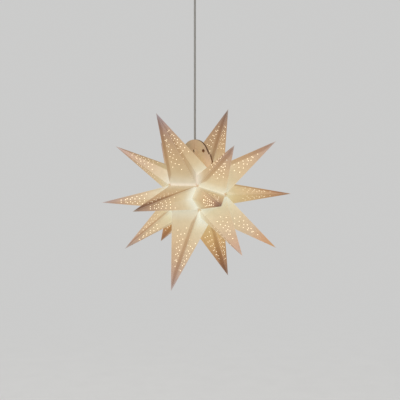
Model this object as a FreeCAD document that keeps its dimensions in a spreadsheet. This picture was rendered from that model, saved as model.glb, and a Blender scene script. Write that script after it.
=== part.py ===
import FreeCAD, Part
import math
import os

import Sketcher
from FreeCAD import Placement, Rotation, Vector

# Paper star lantern on a ceiling cord.
#
# The star is folded round a level axis, X, with its opening seam on top. Six columns stand round that
# axis, each with one wide spike in the star's middle plane and one ring spike either side of it. A wide
# spike is one sheet of six facets: two broad sides, and a gusset folded inwards at the front and at the
# back. A ring spike is one sheet of four facets. Each is closed by a glue flap inside. Two domed tabs rise
# from the seam, pinned together round the cord, and the seam's two folds sit on the lampholder's cap.
#
# The origin is the middle of the ceiling fitting, against the ceiling, with +Z up. The star, its tabs and
# its lamp are drawn about the star's centre and then hung: lowered to the end of the straight cord and
# tipped a little, because the star hangs slightly crooked.

doc = FreeCAD.newDocument("PaperStarLantern")

SIZES = (
    # the star, from its centre
    ("wide_reach", 300, "tip of a wide spike"),
    ("ring_reach", 278, "tip of a ring spike"),
    ("ring_lean", 49, "degrees that a ring spike leans from the middle plane"),
    ("seam_angle", 36.4, "degrees from the seam to the columns beside it"),
    ("pole_dip", 99.5, "hollow at each end of the star's axis"),
    ("valley_radius", 70.7, "valley corner between columns, from the axis"),
    ("valley_half", 48.7, "valley corner, from the middle plane"),
    ("crease_radius", 73.5, "gusset foot, from the axis"),
    ("crease_half", 35.8, "gusset foot, from the middle plane"),
    # paper
    ("paper", 0.3, "thickness of the folded paper"),
    ("flap_width", 11, "width of a glue flap"),
    ("punch_radius", 1.5, "radius of a punched pin-hole"),
    # end leaves: domed tabs of card that stand on the seam
    ("card", 0.6, "thickness of the card"),
    ("seam_clearance", 0.5, "between the cord and each tab"),
    ("tab_radius", 45, "radius of the dome"),
    ("tab_centre", 113.5, "height of the dome's centre"),
    ("tab_sweep", 64, "degrees of the dome either side of its top"),
    ("shoulder_height", 115.5, "height of the step below the dome"),
    ("shoulder_half", 53, "half width outside the step"),
    ("flare_height", 93.5, "height of the widest place"),
    ("flare_half", 59, "half width at the widest place"),
    ("cord_hole_radius", 5, "middle hole of a tab"),
    ("pin_hole_radius", 2.2, "outer holes of a tab"),
    ("pin_spacing", 31.5, "from the middle hole to an outer hole"),
    ("hole_height", 126, "height of the three holes"),
    ("strip_width", 12, "glued strip at the foot of a tab"),
    ("strip_margin", 6.7, "each end of the strip, short of the seam's end"),
    # paper fasteners
    ("head_radius", 4.75, "head of a fastener"),
    ("head_height", 1.4, "height of the domed head"),
    ("leg_width", 3, "width of a fastener's leg"),
    ("leg_thickness", 0.5, "thickness of a fastener's leg"),
    ("leg_reach", 11, "bent part of a leg"),
    # lampholder and bulb, heights from the star's centre
    ("seat_drop", 0.5, "seam corner above the cap's flat top"),
    ("cap_flat_radius", 9, "flat top of the cap"),
    ("cap_radius", 15, "outside of the cap"),
    ("cap_slope", 7, "height of the cap's sloping shoulder"),
    ("cap_height", 24, "height of the cap"),
    ("holder_wall", 1.8, "wall of the cap"),
    ("cord_clearance", 0.2, "hole round the cord"),
    ("body_step", 0.5, "body inside the cap's outside"),
    ("body_height", 32, "body below the cap"),
    ("neck_overlap", 10, "neck of the body inside the cap"),
    ("neck_wall", 1.6, "wall of the body's neck"),
    ("ledge_width", 1.5, "ledge in the body that carries the insert"),
    ("insert_drop", 20, "contact insert below the cap's top"),
    ("insert_height", 12, "thickness of the contact insert"),
    ("slip_fit", 0.1, "clearance round a piece that slides into another"),
    ("thread_clearance", 0.2, "between the bulb's screw cap and its shell"),
    ("shell_wall", 0.8, "wall of the threaded shell"),
    ("shell_height", 21, "height of the threaded shell"),
    ("contact_radius", 2.5, "centre contact"),
    ("contact_height", 3.5, "height of the centre contact"),
    ("clamp_radius", 1.5, "cord clamp screw"),
    ("clamp_drop", 10, "clamp screw below the cap's top"),
    ("clamp_proud", 0.8, "clamp screw outside the cap"),
    ("slot_width", 0.6, "screwdriver slot in the clamp screw"),
    ("slot_depth", 0.6, "depth of the slot"),
    ("contact_gap", 0.3, "between the contact and the bulb"),
    ("bulb_cap_radius", 6.9, "screw cap of the bulb"),
    ("bulb_cap_height", 19, "height of the screw cap"),
    ("bulb_tip_height", 3.2, "insulated end of the screw cap"),
    ("bulb_tip_radius", 3, "small end of the screw cap"),
    ("bulb_neck_radius", 8, "neck beside the screw cap"),
    ("bulb_neck_height", 15, "height of the neck"),
    ("bulb_shoulder_radius", 15, "neck where it meets the globe"),
    ("globe_radius", 22.5, "glass globe"),
    ("globe_depth", 29.2, "globe's centre below the screw cap's lower edge"),
    # cord and ceiling fitting, heights from the ceiling
    ("cord_radius", 3, "cord"),
    ("drop", 476.5, "ceiling to the top of the tabs"),
    ("tilt", 2.23, "degrees that the star is tipped"),
    ("tilt_heading", 35.74, "degrees from -Y to the axis that it is tipped about"),
    ("base_radius", 38, "ceiling base"),
    ("base_height", 4, "thickness of the ceiling base"),
    ("screw_hole_radius", 2.25, "screw hole in the base"),
    ("screw_hole_offset", 25, "screw hole from the middle of the base"),
    ("block_length", 26, "terminal block along X"),
    ("block_width", 14, "terminal block along Y"),
    ("block_height", 11, "height of the terminal block"),
    ("cup_height", 42, "height of the ceiling cup"),
    ("cup_wall", 2, "wall of the cup"),
    ("cup_round", 16, "rounding of the cup's lower edge"),
    ("grip_neck_radius", 6, "cord grip where it passes through the cup"),
    ("grip_radius", 9, "cord grip below the cup"),
    ("grip_end_radius", 5.5, "lower end of the cord grip"),
    ("grip_height", 20, "cord grip below the cup"),
    ("grip_taper", 9, "tapered length of the cord grip"),
    ("nut_radius", 10, "nut inside the cup"),
    ("nut_height", 4, "height of the nut"),
)

COLUMNS = 6

sheet = doc.addObject("Spreadsheet::Sheet", "Sizes")
for row, (alias, value, meaning) in enumerate(SIZES, start=1):
    sheet.set("A%d" % row, alias)
    sheet.set("B%d" % row, str(value))
    sheet.set("C%d" % row, meaning)
    sheet.setAlias("B%d" % row, alias)
doc.recompute()


def size(alias):
    """Return one driving dimension from the sheet."""
    return float(getattr(sheet, alias))


def bind(thing, **formulas):
    """Tie an object's properties to formulas of the sheet; Base_z stands for Placement.Base.z."""
    for name, formula in formulas.items():
        path = name.replace("Base_", "Placement.Base.")
        thing.setExpression(path, formula)
    return thing


# --------------------------------------------------------------------------------------------------
# Bodies drawn as sketches, whose corners are tied to the sheet
# --------------------------------------------------------------------------------------------------


def pin_corner(sketch, piece, end, corner, label):
    """Fix one sketch point at a pair of formulas, measured from the sketch's origin."""
    for kind, axis, formula in (("DistanceX", -2, corner[0]), ("DistanceY", -1, corner[1])):
        value = float(sketch.evalExpression(formula))
        if formula == "0":
            sketch.addConstraint(Sketcher.Constraint("PointOnObject", piece, end, axis))
            continue
        index = sketch.addConstraint(Sketcher.Constraint(kind, -1, 1, piece, end, value))
        sketch.renameConstraint(index, label + kind[-1])
        sketch.setExpression("Constraints." + label + kind[-1], formula)


def arc_between(start, end, radius):
    """Return the arc under half a turn from start to end, which bulges to the right of the way it goes."""
    chord = end - start
    aside = Vector(chord.y, -chord.x, 0).normalize()
    rise = radius - math.sqrt(radius**2 - (chord.Length / 2) ** 2)
    return Part.Arc(start, (start + end) / 2 + aside * rise, end)


def add_outline(sketch, corners):
    """Draw a closed outline, anticlockwise. A corner's third formula is the radius of an arc to the next."""
    points = [Vector(*[float(sketch.evalExpression(f)) for f in corner[:2]], 0) for corner in corners]
    ends = []
    for index, corner in enumerate(corners):
        start = points[index]
        finish = points[(index + 1) % len(points)]
        if len(corner) == 2:
            ends.append((sketch.addGeometry(Part.LineSegment(start, finish), False), 1, 2))
            continue
        radius = float(sketch.evalExpression(corner[2]))
        piece = sketch.addGeometry(arc_between(start, finish, radius), False)
        first = 1 if sketch.getPoint(piece, 1).distanceToPoint(start) < 1e-6 else 2
        ends.append((piece, first, 3 - first))
    for index, (piece, first, last) in enumerate(ends):
        following = ends[(index + 1) % len(ends)]
        sketch.addConstraint(Sketcher.Constraint("Coincident", piece, last, following[0], following[1]))
        pin_corner(sketch, piece, first, corners[index], "corner%d" % index)
        if len(corners[index]) == 3:
            radius = float(sketch.evalExpression(corners[index][2]))
            label = "arc%d" % index
            sketch.renameConstraint(sketch.addConstraint(Sketcher.Constraint("Radius", piece, radius)), label)
            sketch.setExpression("Constraints." + label, corners[index][2])


def add_hole(sketch, label, centre, radius):
    """Draw a circle whose centre and radius are formulas."""
    middle = Vector(*[float(sketch.evalExpression(f)) for f in centre], 0)
    size_now = float(sketch.evalExpression(radius))
    piece = sketch.addGeometry(Part.Circle(middle, Vector(0, 0, 1), size_now), False)
    pin_corner(sketch, piece, 3, centre, label)
    index = sketch.addConstraint(Sketcher.Constraint("Radius", piece, size_now))
    sketch.renameConstraint(index, label + "Radius")
    sketch.setExpression("Constraints." + label + "Radius", radius)


def upright_sketch(body, name):
    """Add a sketch on the body's XZ plane, so that it draws X across and Z up."""
    sketch = body.newObject("Sketcher::SketchObject", name)
    plane = next(f for f in body.Origin.OriginFeatures if f.Role == "XZ_Plane")
    sketch.AttachmentSupport = [(plane, "")]
    sketch.MapMode = "FlatFace"
    return sketch


def turned(name, corners):
    """Turn a profile of (radius, height) formulas about Z."""
    body = doc.addObject("PartDesign::Body", name)
    sketch = upright_sketch(body, name + "_profile")
    add_outline(sketch, corners)
    spin = body.newObject("PartDesign::Revolution", name + "_turned")
    spin.Profile = sketch
    spin.ReferenceAxis = (sketch, ["V_Axis"])
    spin.Angle = 360
    doc.recompute()
    return body


def cylinder(name, radius, height, bottom):
    """Make a cylinder on the Z axis from formulas."""
    return bind(doc.addObject("Part::Cylinder", name), Radius=radius, Height=height, Base_z=bottom)


def fused(name, pieces):
    """Fuse several document objects."""
    union = doc.addObject("Part::MultiFuse", name)
    union.Shapes = pieces
    return union


def cut(name, base, tool):
    """Cut one document object by another."""
    result = doc.addObject("Part::Cut", name)
    result.Base = base
    result.Tool = tool
    return result


def plain(name, shape):
    """Hold a shape that neither a sketch nor a primitive describes."""
    feature = doc.addObject("Part::Feature", name)
    feature.Shape = shape
    return feature


# --------------------------------------------------------------------------------------------------
# The folded star
# --------------------------------------------------------------------------------------------------

# Rows of punches along a facet: first and last place from tip (0) to base (1), how many, and how far they
# stand aside from the facet's middle line at the first and the last, as a share of its width there.
POLE_ROWS = ((0.32, 0.72, 6, 0.0, 0.0), (0.41, 0.68, 5, 0.10, 0.25), (0.445, 0.665, 4, -0.10, -0.23))
SIDE_ROWS = ((0.30, 0.69, 6, 0.03, 0.0), (0.36, 0.77, 7, -0.06, -0.2), (0.37, 0.74, 6, 0.12, 0.19))
FOLD_ROWS = ((0.28, 0.61, 6, -0.18, -0.32), (0.37, 0.65, 5, -0.03, 0.18))

SEAM_HALF = "(Sizes.cord_radius + Sizes.seam_clearance)"  # half the gap between the two tabs

# Each wide spike's glue flap, by column: its facet, and whether it hangs from that facet's first ridge.
WIDE_FLAPS = ((3, True), (0, True), (0, True), (0, True), (0, True), (3, False))
RING_FLAP = (3, True)

FLAP_START = 0.05  # a flap's ends along its ridge, from tip (0) to base (1)
FLAP_FULL = 0.22  # where it has its whole width
FLAP_END = 0.95
FLAP_SLANT = 0.11
FLAP_START_WIDTH = 0.22  # share of the whole width at its start

pole_step = (360 - 2 * size("seam_angle")) / (COLUMNS - 1)
column_angles = [size("seam_angle") + k * pole_step for k in range(COLUMNS)]
# The valley between two columns lies halfway; the seam's two folds stand apart by the gap between the tabs.
valley_angles = [0.0] + [angle + pole_step / 2 for angle in column_angles[:-1]] + [360.0]


def around(angle, radius, along, shift=0.0):
    """Return a point at an angle from straight up towards -Y, at a radius from the star's axis."""
    turn = math.radians(angle)
    return Vector(along, -radius * math.sin(turn) + shift, radius * math.cos(turn))


def valley(index, side):
    """Return a valley corner; side is +1 for the front of the star and -1 for the back."""
    seam_half = float(sheet.evalExpression(SEAM_HALF))
    shift = {0: -seam_half, COLUMNS: seam_half}.get(index, 0.0)
    return around(valley_angles[index], size("valley_radius"), side * size("valley_half"), shift)


def gusset_foot(column, side):
    """Return the corner where a gusset's crease meets the ring spike beside it."""
    return around(column_angles[column], size("crease_radius"), side * size("crease_half"))


def pole(side):
    """Return the hollow corner at one end of the star's axis."""
    return Vector(side * size("pole_dip"), 0, 0)


def wide_tip(column):
    """Return the tip of a wide spike."""
    return around(column_angles[column], size("wide_reach"), 0)


def ring_tip(column, side):
    """Return the tip of a ring spike."""
    lean = math.radians(size("ring_lean"))
    reach = size("ring_reach")
    return around(column_angles[column], reach * math.cos(lean), side * reach * math.sin(lean))


def outward(tip, first, second):
    """Return a facet's unit normal; seen from outside, tip, first and second run anticlockwise."""
    return (first - tip).cross(second - tip).normalize()


def inset(tip, foot, first, second, depth):
    """Move a foot inwards, square to its ridge, until it lies depth below both facets that meet there."""
    ridge = (foot - tip).normalize()
    across = (first + second).normalize()
    across = (across - ridge * across.dot(ridge)).normalize()
    return foot - across * (depth / across.dot(first))


def solid_between(triangles):
    """Sew triangles into one closed solid."""
    faces = [Part.Face(Part.makePolygon([a, b, c, a])) for a, b, c in triangles]
    shell = Part.Shell(faces)
    solid = Part.Solid(shell)
    if solid.Volume < 0:
        solid.reverse()
    return solid


def folded_sheet(tip, feet):
    """Make a closed wrap of triangular facets that share one tip; return it with its inside tip and feet."""
    depth = size("paper")
    count = len(feet)
    normals = [outward(tip, feet[k], feet[(k + 1) % count]) for k in range(count)]
    inner_feet = [inset(tip, feet[k], normals[k - 1], normals[k], depth) for k in range(count)]
    axis = sum((foot - tip for foot in feet), Vector()).normalize()
    inner_tip = tip + axis * (sum(depth / abs(axis.dot(normal)) for normal in normals) / count)
    triangles = []
    for k in range(count):
        after = (k + 1) % count
        triangles.append((tip, feet[k], feet[after]))
        triangles.append((inner_tip, inner_feet[after], inner_feet[k]))
        triangles.append((feet[k], inner_feet[k], feet[after]))
        triangles.append((feet[after], inner_feet[k], inner_feet[after]))
    return solid_between(triangles), inner_tip, inner_feet


def glued_flap(tip, feet, facet, from_first):
    """Make the glue flap that hangs from one ridge inside a wrap, against the facet that it is glued to."""
    pair = [feet[facet], feet[(facet + 1) % len(feet)]]
    inwards = outward(tip, *pair) * -1
    along, across = pair if from_first else reversed(pair)
    ridge = along - tip
    aside = across - tip
    aside = (aside - ridge * (aside.dot(ridge) / ridge.dot(ridge))).normalize()
    width = size("flap_width")
    corners = [
        tip + ridge * FLAP_START,
        tip + ridge * FLAP_END,
        tip + ridge * (FLAP_END - FLAP_SLANT) + aside * width,
        tip + ridge * FLAP_FULL + aside * width,
        tip + ridge * FLAP_START + aside * (width * FLAP_START_WIDTH),
    ]
    return Part.Face(Part.makePolygon(corners + corners[:1])).extrude(inwards * size("paper"))


def punches(tip, first, second, rows):
    """Return the punch cylinders of one facet; a positive stand-off lies towards its second foot."""
    normal = outward(tip, first, second)
    reach = 4 * size("paper")
    tools = []
    for start, finish, count, aside_start, aside_finish in rows:
        for k in range(count):
            share = k / (count - 1)
            place = start + (finish - start) * share
            aside = 0.5 + aside_start + (aside_finish - aside_start) * share
            spot = tip + ((first - tip) * (1 - aside) + (second - tip) * aside) * place
            tools.append(Part.makeCylinder(size("punch_radius"), 2 * reach, spot - normal * reach, normal))
    return tools


def facet_punches(tip, feet, rows):
    """Return the punch cylinders of every facet of a closed wrap."""
    tools = []
    for k in range(len(feet)):
        tools += punches(tip, feet[k], feet[(k + 1) % len(feet)], rows[k])
    return tools


def mirrored_rows(rows):
    """Return rows that stand aside the other way, for a facet that is drawn from its other foot."""
    return [(start, finish, count, -first, -last) for start, finish, count, first, last in rows]


def punched(name, sheet_shape, tools):
    """Hold a folded sheet and its punches in the document, and cut one by the other."""
    return cut(name, plain(name + "_sheet", sheet_shape), plain(name + "_punches", Part.makeCompound(tools)))


def ring_spike(column, side):
    """Make a ring spike: two facets towards the pole, two towards the wide spike, and one glue flap."""
    tip = ring_tip(column, side)
    before = valley(column, side)
    after = valley(column + 1, side)
    feet = [pole(side), before, gusset_foot(column, side), after]
    if side < 0:
        feet = [feet[0]] + feet[:0:-1]
    shape, inner_tip, inner_feet = folded_sheet(tip, feet)
    shape = shape.fuse(glued_flap(inner_tip, inner_feet, *RING_FLAP))
    rows = [POLE_ROWS, mirrored_rows(FOLD_ROWS), FOLD_ROWS, mirrored_rows(POLE_ROWS)]
    name = "ring_spike_%s_%d" % ("front" if side > 0 else "back", column + 1)
    return punched(name, shape.removeSplitter(), facet_punches(tip, feet, rows))


def wide_spike(column):
    """Make a wide spike: two sides, a gusset folded inwards at the front and the back, and a glue flap."""
    tip = wide_tip(column)
    feet = [
        valley(column, 1),
        valley(column, -1),
        gusset_foot(column, -1),
        valley(column + 1, -1),
        valley(column + 1, 1),
        gusset_foot(column, 1),
    ]
    shape, inner_tip, inner_feet = folded_sheet(tip, feet)
    shape = shape.fuse(glued_flap(inner_tip, inner_feet, *WIDE_FLAPS[column]))
    side_back = mirrored_rows(SIDE_ROWS)
    fold_back = mirrored_rows(FOLD_ROWS)
    rows = [SIDE_ROWS, fold_back, FOLD_ROWS, side_back, fold_back, FOLD_ROWS]
    return punched("wide_spike_%d" % (column + 1), shape.removeSplitter(), facet_punches(tip, feet, rows))


star = []
for column in range(COLUMNS):
    star.append(wide_spike(column))
    star.append(ring_spike(column, 1))
    star.append(ring_spike(column, -1))

# --------------------------------------------------------------------------------------------------
# End leaves and the fasteners that hold the seam closed
# --------------------------------------------------------------------------------------------------

# The tab starts where its outer face meets the spike's facet; the strip below fills the corner under it.
FACET_RISE = "(Sizes.wide_reach * cos(Sizes.seam_angle * 1deg) - Sizes.valley_radius)"
FACET_RUN = "(Sizes.wide_reach * sin(Sizes.seam_angle * 1deg) - " + SEAM_HALF + ")"
TAB_FOOT = "Sizes.valley_radius + Sizes.card * " + FACET_RISE + " / " + FACET_RUN
DOME_X = "Sizes.tab_radius * sin(Sizes.tab_sweep * 1deg)"
DOME_Z = "Sizes.tab_centre + Sizes.tab_radius * cos(Sizes.tab_sweep * 1deg)"
STEP_X = DOME_X + " + (" + DOME_Z + " - Sizes.shoulder_height) / tan(Sizes.tab_sweep * 1deg)"


def tab_corners():
    """Return the tab's outline, anticlockwise from its right foot, as formulas."""
    right = [
        ("Sizes.valley_half", TAB_FOOT),
        ("Sizes.flare_half", "Sizes.flare_height"),
        ("Sizes.shoulder_half", "Sizes.shoulder_height"),
        (STEP_X, "Sizes.shoulder_height"),
        (DOME_X, DOME_Z, "Sizes.tab_radius"),
    ]
    left = [("-(" + corner[0] + ")", corner[1]) for corner in reversed(right)]
    return right + left


def end_leaf(name, offset, tip, feet):
    """Make an end leaf: a domed tab on the seam, folded at its foot into a strip glued to one wide spike."""
    body = doc.addObject("PartDesign::Body", name + "_tab")
    sketch = upright_sketch(body, name + "_outline")
    sketch.setExpression("AttachmentOffset.Base.z", offset)
    add_outline(sketch, tab_corners())
    add_hole(sketch, "middle", ("0", "Sizes.hole_height"), "Sizes.cord_hole_radius")
    add_hole(sketch, "right", ("Sizes.pin_spacing", "Sizes.hole_height"), "Sizes.pin_hole_radius")
    add_hole(sketch, "left", ("-Sizes.pin_spacing", "Sizes.hole_height"), "Sizes.pin_hole_radius")
    pad = body.newObject("PartDesign::Pad", name + "_sheet")
    pad.Profile = sketch
    pad.setExpression("Length", "Sizes.card")
    doc.recompute()

    # The strip lies on the spike's facet. Across X its section is a plate that runs into the upright tab.
    normal = outward(tip, feet[0], feet[1])
    foot = (feet[0] + feet[1]) / 2
    up_facet = (tip - foot).normalize()
    card = size("card")
    reach = size("strip_width")
    corner = foot + normal * card + up_facet * (card * (1 + abs(normal.y)) / abs(up_facet.y))
    section = [
        foot,
        foot + up_facet * reach,
        foot + up_facet * reach + normal * card,
        corner,
        Vector(foot.x, foot.y, corner.z),
    ]
    half = Vector(size("valley_half") - size("strip_margin"), 0, 0)
    outline = [point - half for point in section]
    strip = Part.Face(Part.makePolygon(outline + outline[:1])).extrude(half * 2)
    return fused(name, [body, plain(name + "_strip", strip)])


near_leaf = end_leaf(
    "end_leaf_near", SEAM_HALF, wide_tip(0), (valley(0, 1), valley(0, -1))
)
far_leaf = end_leaf(
    "end_leaf_far",
    "-" + SEAM_HALF + " - Sizes.card",
    wide_tip(COLUMNS - 1),
    (valley(COLUMNS, -1), valley(COLUMNS, 1)),
)


def fastener(name, place):
    """Make a paper fastener: a domed head on the near tab and two legs bent apart behind the far tab."""
    head = bind(
        doc.addObject("Part::Ellipsoid", name + "_head"),
        Radius1="Sizes.head_height",
        Radius2="Sizes.head_radius",
        Radius3="Sizes.head_radius",
        Base_x=place,
        Base_y="-" + SEAM_HALF + " - Sizes.card",
        Base_z="Sizes.hole_height",
    )
    head.Angle1 = 0
    head.Placement.Rotation = Rotation(Vector(1, 0, 0), 90)
    pieces = [head]
    for upwards in (True, False):
        tag = "upper" if upwards else "lower"
        shank_z = "Sizes.hole_height" if upwards else "Sizes.hole_height - Sizes.leg_thickness"
        shank = bind(
            doc.addObject("Part::Box", name + "_shank_" + tag),
            Length="Sizes.leg_width",
            Width="2 * " + SEAM_HALF + " + 2 * Sizes.card + Sizes.leg_thickness",
            Height="Sizes.leg_thickness",
            Base_x=place + " - Sizes.leg_width / 2",
            Base_y="-" + SEAM_HALF + " - Sizes.card",
            Base_z=shank_z,
        )
        leg_z = "Sizes.hole_height" if upwards else "Sizes.hole_height - Sizes.leg_reach"
        leg = bind(
            doc.addObject("Part::Box", name + "_leg_" + tag),
            Length="Sizes.leg_width",
            Width="Sizes.leg_thickness",
            Height="Sizes.leg_reach",
            Base_x=place + " - Sizes.leg_width / 2",
            Base_y=SEAM_HALF + " + Sizes.card",
            Base_z=leg_z,
        )
        pieces += [shank, leg]
    return fused(name, pieces)


seam = [
    near_leaf,
    far_leaf,
    fastener("fastener_right", "Sizes.pin_spacing"),
    fastener("fastener_left", "-Sizes.pin_spacing"),
]

# --------------------------------------------------------------------------------------------------
# Lampholder and bulb
# --------------------------------------------------------------------------------------------------

CAP_TOP = "Sizes.valley_radius - Sizes.seat_drop"
CORD_HOLE = "Sizes.cord_radius + Sizes.cord_clearance"
CAP_BORE = "Sizes.cap_radius - Sizes.holder_wall"
CAP_FOOT = CAP_TOP + " - Sizes.cap_height"
INSERT_TOP = CAP_TOP + " - Sizes.insert_drop"
LEDGE = INSERT_TOP + " - Sizes.insert_height"
NECK_RADIUS = CAP_BORE + " - Sizes.slip_fit"
NECK_TOP = CAP_FOOT + " + Sizes.neck_overlap"
BODY_BORE = NECK_RADIUS + " - Sizes.neck_wall"
LEDGE_BORE = BODY_BORE + " - Sizes.ledge_width"
BODY_FOOT = CAP_FOOT + " - Sizes.body_height"
CLAMP_Z = CAP_TOP + " - Sizes.clamp_drop"

cap_shell = turned(
    "lampholder_cap_shell",
    [
        (CORD_HOLE, CAP_TOP + " - Sizes.holder_wall"),
        ("Sizes.cap_flat_radius - Sizes.holder_wall / 2", CAP_TOP + " - Sizes.holder_wall"),
        (CAP_BORE, CAP_TOP + " - Sizes.cap_slope - Sizes.holder_wall / 2"),
        (CAP_BORE, CAP_FOOT),
        ("Sizes.cap_radius", CAP_FOOT),
        ("Sizes.cap_radius", CAP_TOP + " - Sizes.cap_slope"),
        ("Sizes.cap_flat_radius", CAP_TOP),
        (CORD_HOLE, CAP_TOP),
    ],
)


def clamp_rod(name, radius):
    """Make a rod along X, from the cord to just outside the cap."""
    rod = bind(
        doc.addObject("Part::Cylinder", name),
        Radius=radius,
        Height="Sizes.cap_radius + Sizes.clamp_proud - Sizes.cord_radius",
        Base_x="Sizes.cord_radius",
        Base_z=CLAMP_Z,
    )
    rod.Placement.Rotation = Rotation(Vector(0, 1, 0), 90)
    return rod


cap_piece = cut("lampholder_cap", cap_shell, clamp_rod("clamp_bore", "Sizes.clamp_radius"))
clamp_slot = bind(
    doc.addObject("Part::Box", "clamp_slot"),
    Length="Sizes.slot_depth",
    Width="2 * Sizes.clamp_radius",
    Height="Sizes.slot_width",
    Base_x="Sizes.cap_radius + Sizes.clamp_proud - Sizes.slot_depth",
    Base_y="-Sizes.clamp_radius",
    Base_z=CLAMP_Z + " - Sizes.slot_width / 2",
)
clamp_piece = cut("clamp_screw", clamp_rod("clamp_screw_rod", "Sizes.clamp_radius"), clamp_slot)
body_piece = turned(
    "lampholder_body",
    [
        (LEDGE_BORE, BODY_FOOT),
        ("Sizes.cap_radius - Sizes.body_step", BODY_FOOT),
        ("Sizes.cap_radius - Sizes.body_step", CAP_FOOT),
        (NECK_RADIUS, CAP_FOOT),
        (NECK_RADIUS, NECK_TOP),
        (BODY_BORE, NECK_TOP),
        (BODY_BORE, LEDGE),
        (LEDGE_BORE, LEDGE),
    ],
)
INSERT_RADIUS = BODY_BORE + " - Sizes.slip_fit"
insert_piece = turned(
    "contact_insert",
    [
        ("0", LEDGE),
        (INSERT_RADIUS, LEDGE),
        (INSERT_RADIUS, INSERT_TOP),
        ("0", INSERT_TOP),
    ],
)
SHELL_BORE = "Sizes.bulb_cap_radius + Sizes.thread_clearance"
SHELL_FOOT = LEDGE + " - Sizes.shell_height"
shell_piece = cut(
    "threaded_shell",
    cylinder("shell_outside", SHELL_BORE + " + Sizes.shell_wall", "Sizes.shell_height", SHELL_FOOT),
    cylinder("shell_inside", SHELL_BORE, "Sizes.shell_height", SHELL_FOOT),
)
CONTACT_FOOT = LEDGE + " - Sizes.contact_height"
contact_piece = turned(
    "centre_contact",
    [
        ("0", CONTACT_FOOT),
        ("Sizes.contact_radius", CONTACT_FOOT),
        ("Sizes.contact_radius", LEDGE),
        ("0", LEDGE),
    ],
)

BULB_TOP = CONTACT_FOOT + " - Sizes.contact_gap"
BULB_CAP_TOP = BULB_TOP + " - Sizes.bulb_tip_height"
BULB_CAP_FOOT = BULB_CAP_TOP + " - Sizes.bulb_cap_height"


def cone(name, lower, upper, height, bottom):
    """Make a cone on the Z axis from formulas."""
    return bind(
        doc.addObject("Part::Cone", name), Radius1=lower, Radius2=upper, Height=height, Base_z=bottom
    )


bulb_piece = fused(
    "bulb",
    [
        cone(
            "bulb_tip",
            "Sizes.bulb_cap_radius",
            "Sizes.bulb_tip_radius",
            "Sizes.bulb_tip_height",
            BULB_CAP_TOP,
        ),
        cylinder("bulb_cap", "Sizes.bulb_cap_radius", "Sizes.bulb_cap_height", BULB_CAP_FOOT),
        cone(
            "bulb_neck",
            "Sizes.bulb_shoulder_radius",
            "Sizes.bulb_neck_radius",
            "Sizes.bulb_neck_height",
            BULB_CAP_FOOT + " - Sizes.bulb_neck_height",
        ),
        bind(
            doc.addObject("Part::Sphere", "bulb_globe"),
            Radius="Sizes.globe_radius",
            Base_z=BULB_CAP_FOOT + " - Sizes.globe_depth",
        ),
    ],
)
lamp = [cap_piece, clamp_piece, body_piece, insert_piece, shell_piece, contact_piece, bulb_piece]

# --------------------------------------------------------------------------------------------------
# Hanging the star and its lamp
# --------------------------------------------------------------------------------------------------

# The star turns about a level axis through the top of the tabs, where the straight cord enters between them.
TAB_TOP = "(Sizes.tab_centre + Sizes.tab_radius)"
heading = math.radians(size("tilt_heading"))
tilt_axis = Vector(math.sin(heading), -math.cos(heading), 0)


def hang(piece):
    """Lower a piece to the cord's end and tip it about the top of the tabs."""
    lean = TAB_TOP + " * sin(Sizes.tilt * 1deg)"
    piece.Placement = Placement(Vector(), Rotation(tilt_axis, size("tilt")))
    bind(
        piece,
        Base_x=lean + " * cos(Sizes.tilt_heading * 1deg)",
        Base_y=lean + " * sin(Sizes.tilt_heading * 1deg)",
        Base_z="-Sizes.drop - " + TAB_TOP + " * cos(Sizes.tilt * 1deg)",
    )
    piece.setExpression("Placement.Rotation.Angle", "Sizes.tilt")


hung = star + seam + lamp
for piece in hung:
    hang(piece)
doc.recompute()

# --------------------------------------------------------------------------------------------------
# Cord: taut from the terminal block to the tabs, then down between them to the lampholder
# --------------------------------------------------------------------------------------------------

hanging = hung[0].Placement
insert_top = float(sheet.evalExpression(INSERT_TOP))
route = [
    Vector(0, 0, -size("base_height") - size("block_height")),
    Vector(0, 0, -size("drop")),
    hanging.multVec(Vector(0, 0, insert_top)),
]
runs = [(route[k + 1] - route[k]).Length for k in range(2)]
directions = [(route[k + 1] - route[k]).normalize() for k in range(2)]
half_turn = directions[0].getAngle(directions[1]) / 2
tangent = 0.45 * min(runs)
print("cord: runs %.0f and %.0f mm, arc radius %.0f mm" % (runs[0], runs[1], tangent / math.tan(half_turn)))

arc_start = route[1] - directions[0] * tangent
arc_end = route[1] + directions[1] * tangent
arc_middle = (arc_start + arc_end) / 2
towards_corner = (route[1] - arc_middle).normalize()
bow = tangent * math.tan(half_turn / 2)
path = Part.Wire(
    [
        Part.LineSegment(route[0], arc_start).toShape(),
        Part.Arc(arc_start, arc_middle + towards_corner * bow, arc_end).toShape(),
        Part.LineSegment(arc_end, route[2]).toShape(),
    ]
)
section = Part.Face(Part.Wire(Part.makeCircle(size("cord_radius"), route[0], directions[0])))
cord_shape = path.makePipe(section)
expected = math.pi * size("cord_radius") ** 2 * path.Length
print("cord: length %.1f mm, volume %.4f of its section's" % (path.Length, cord_shape.Volume / expected))
cord_piece = plain("cord", cord_shape)

# --------------------------------------------------------------------------------------------------
# Ceiling fitting
# --------------------------------------------------------------------------------------------------

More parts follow.
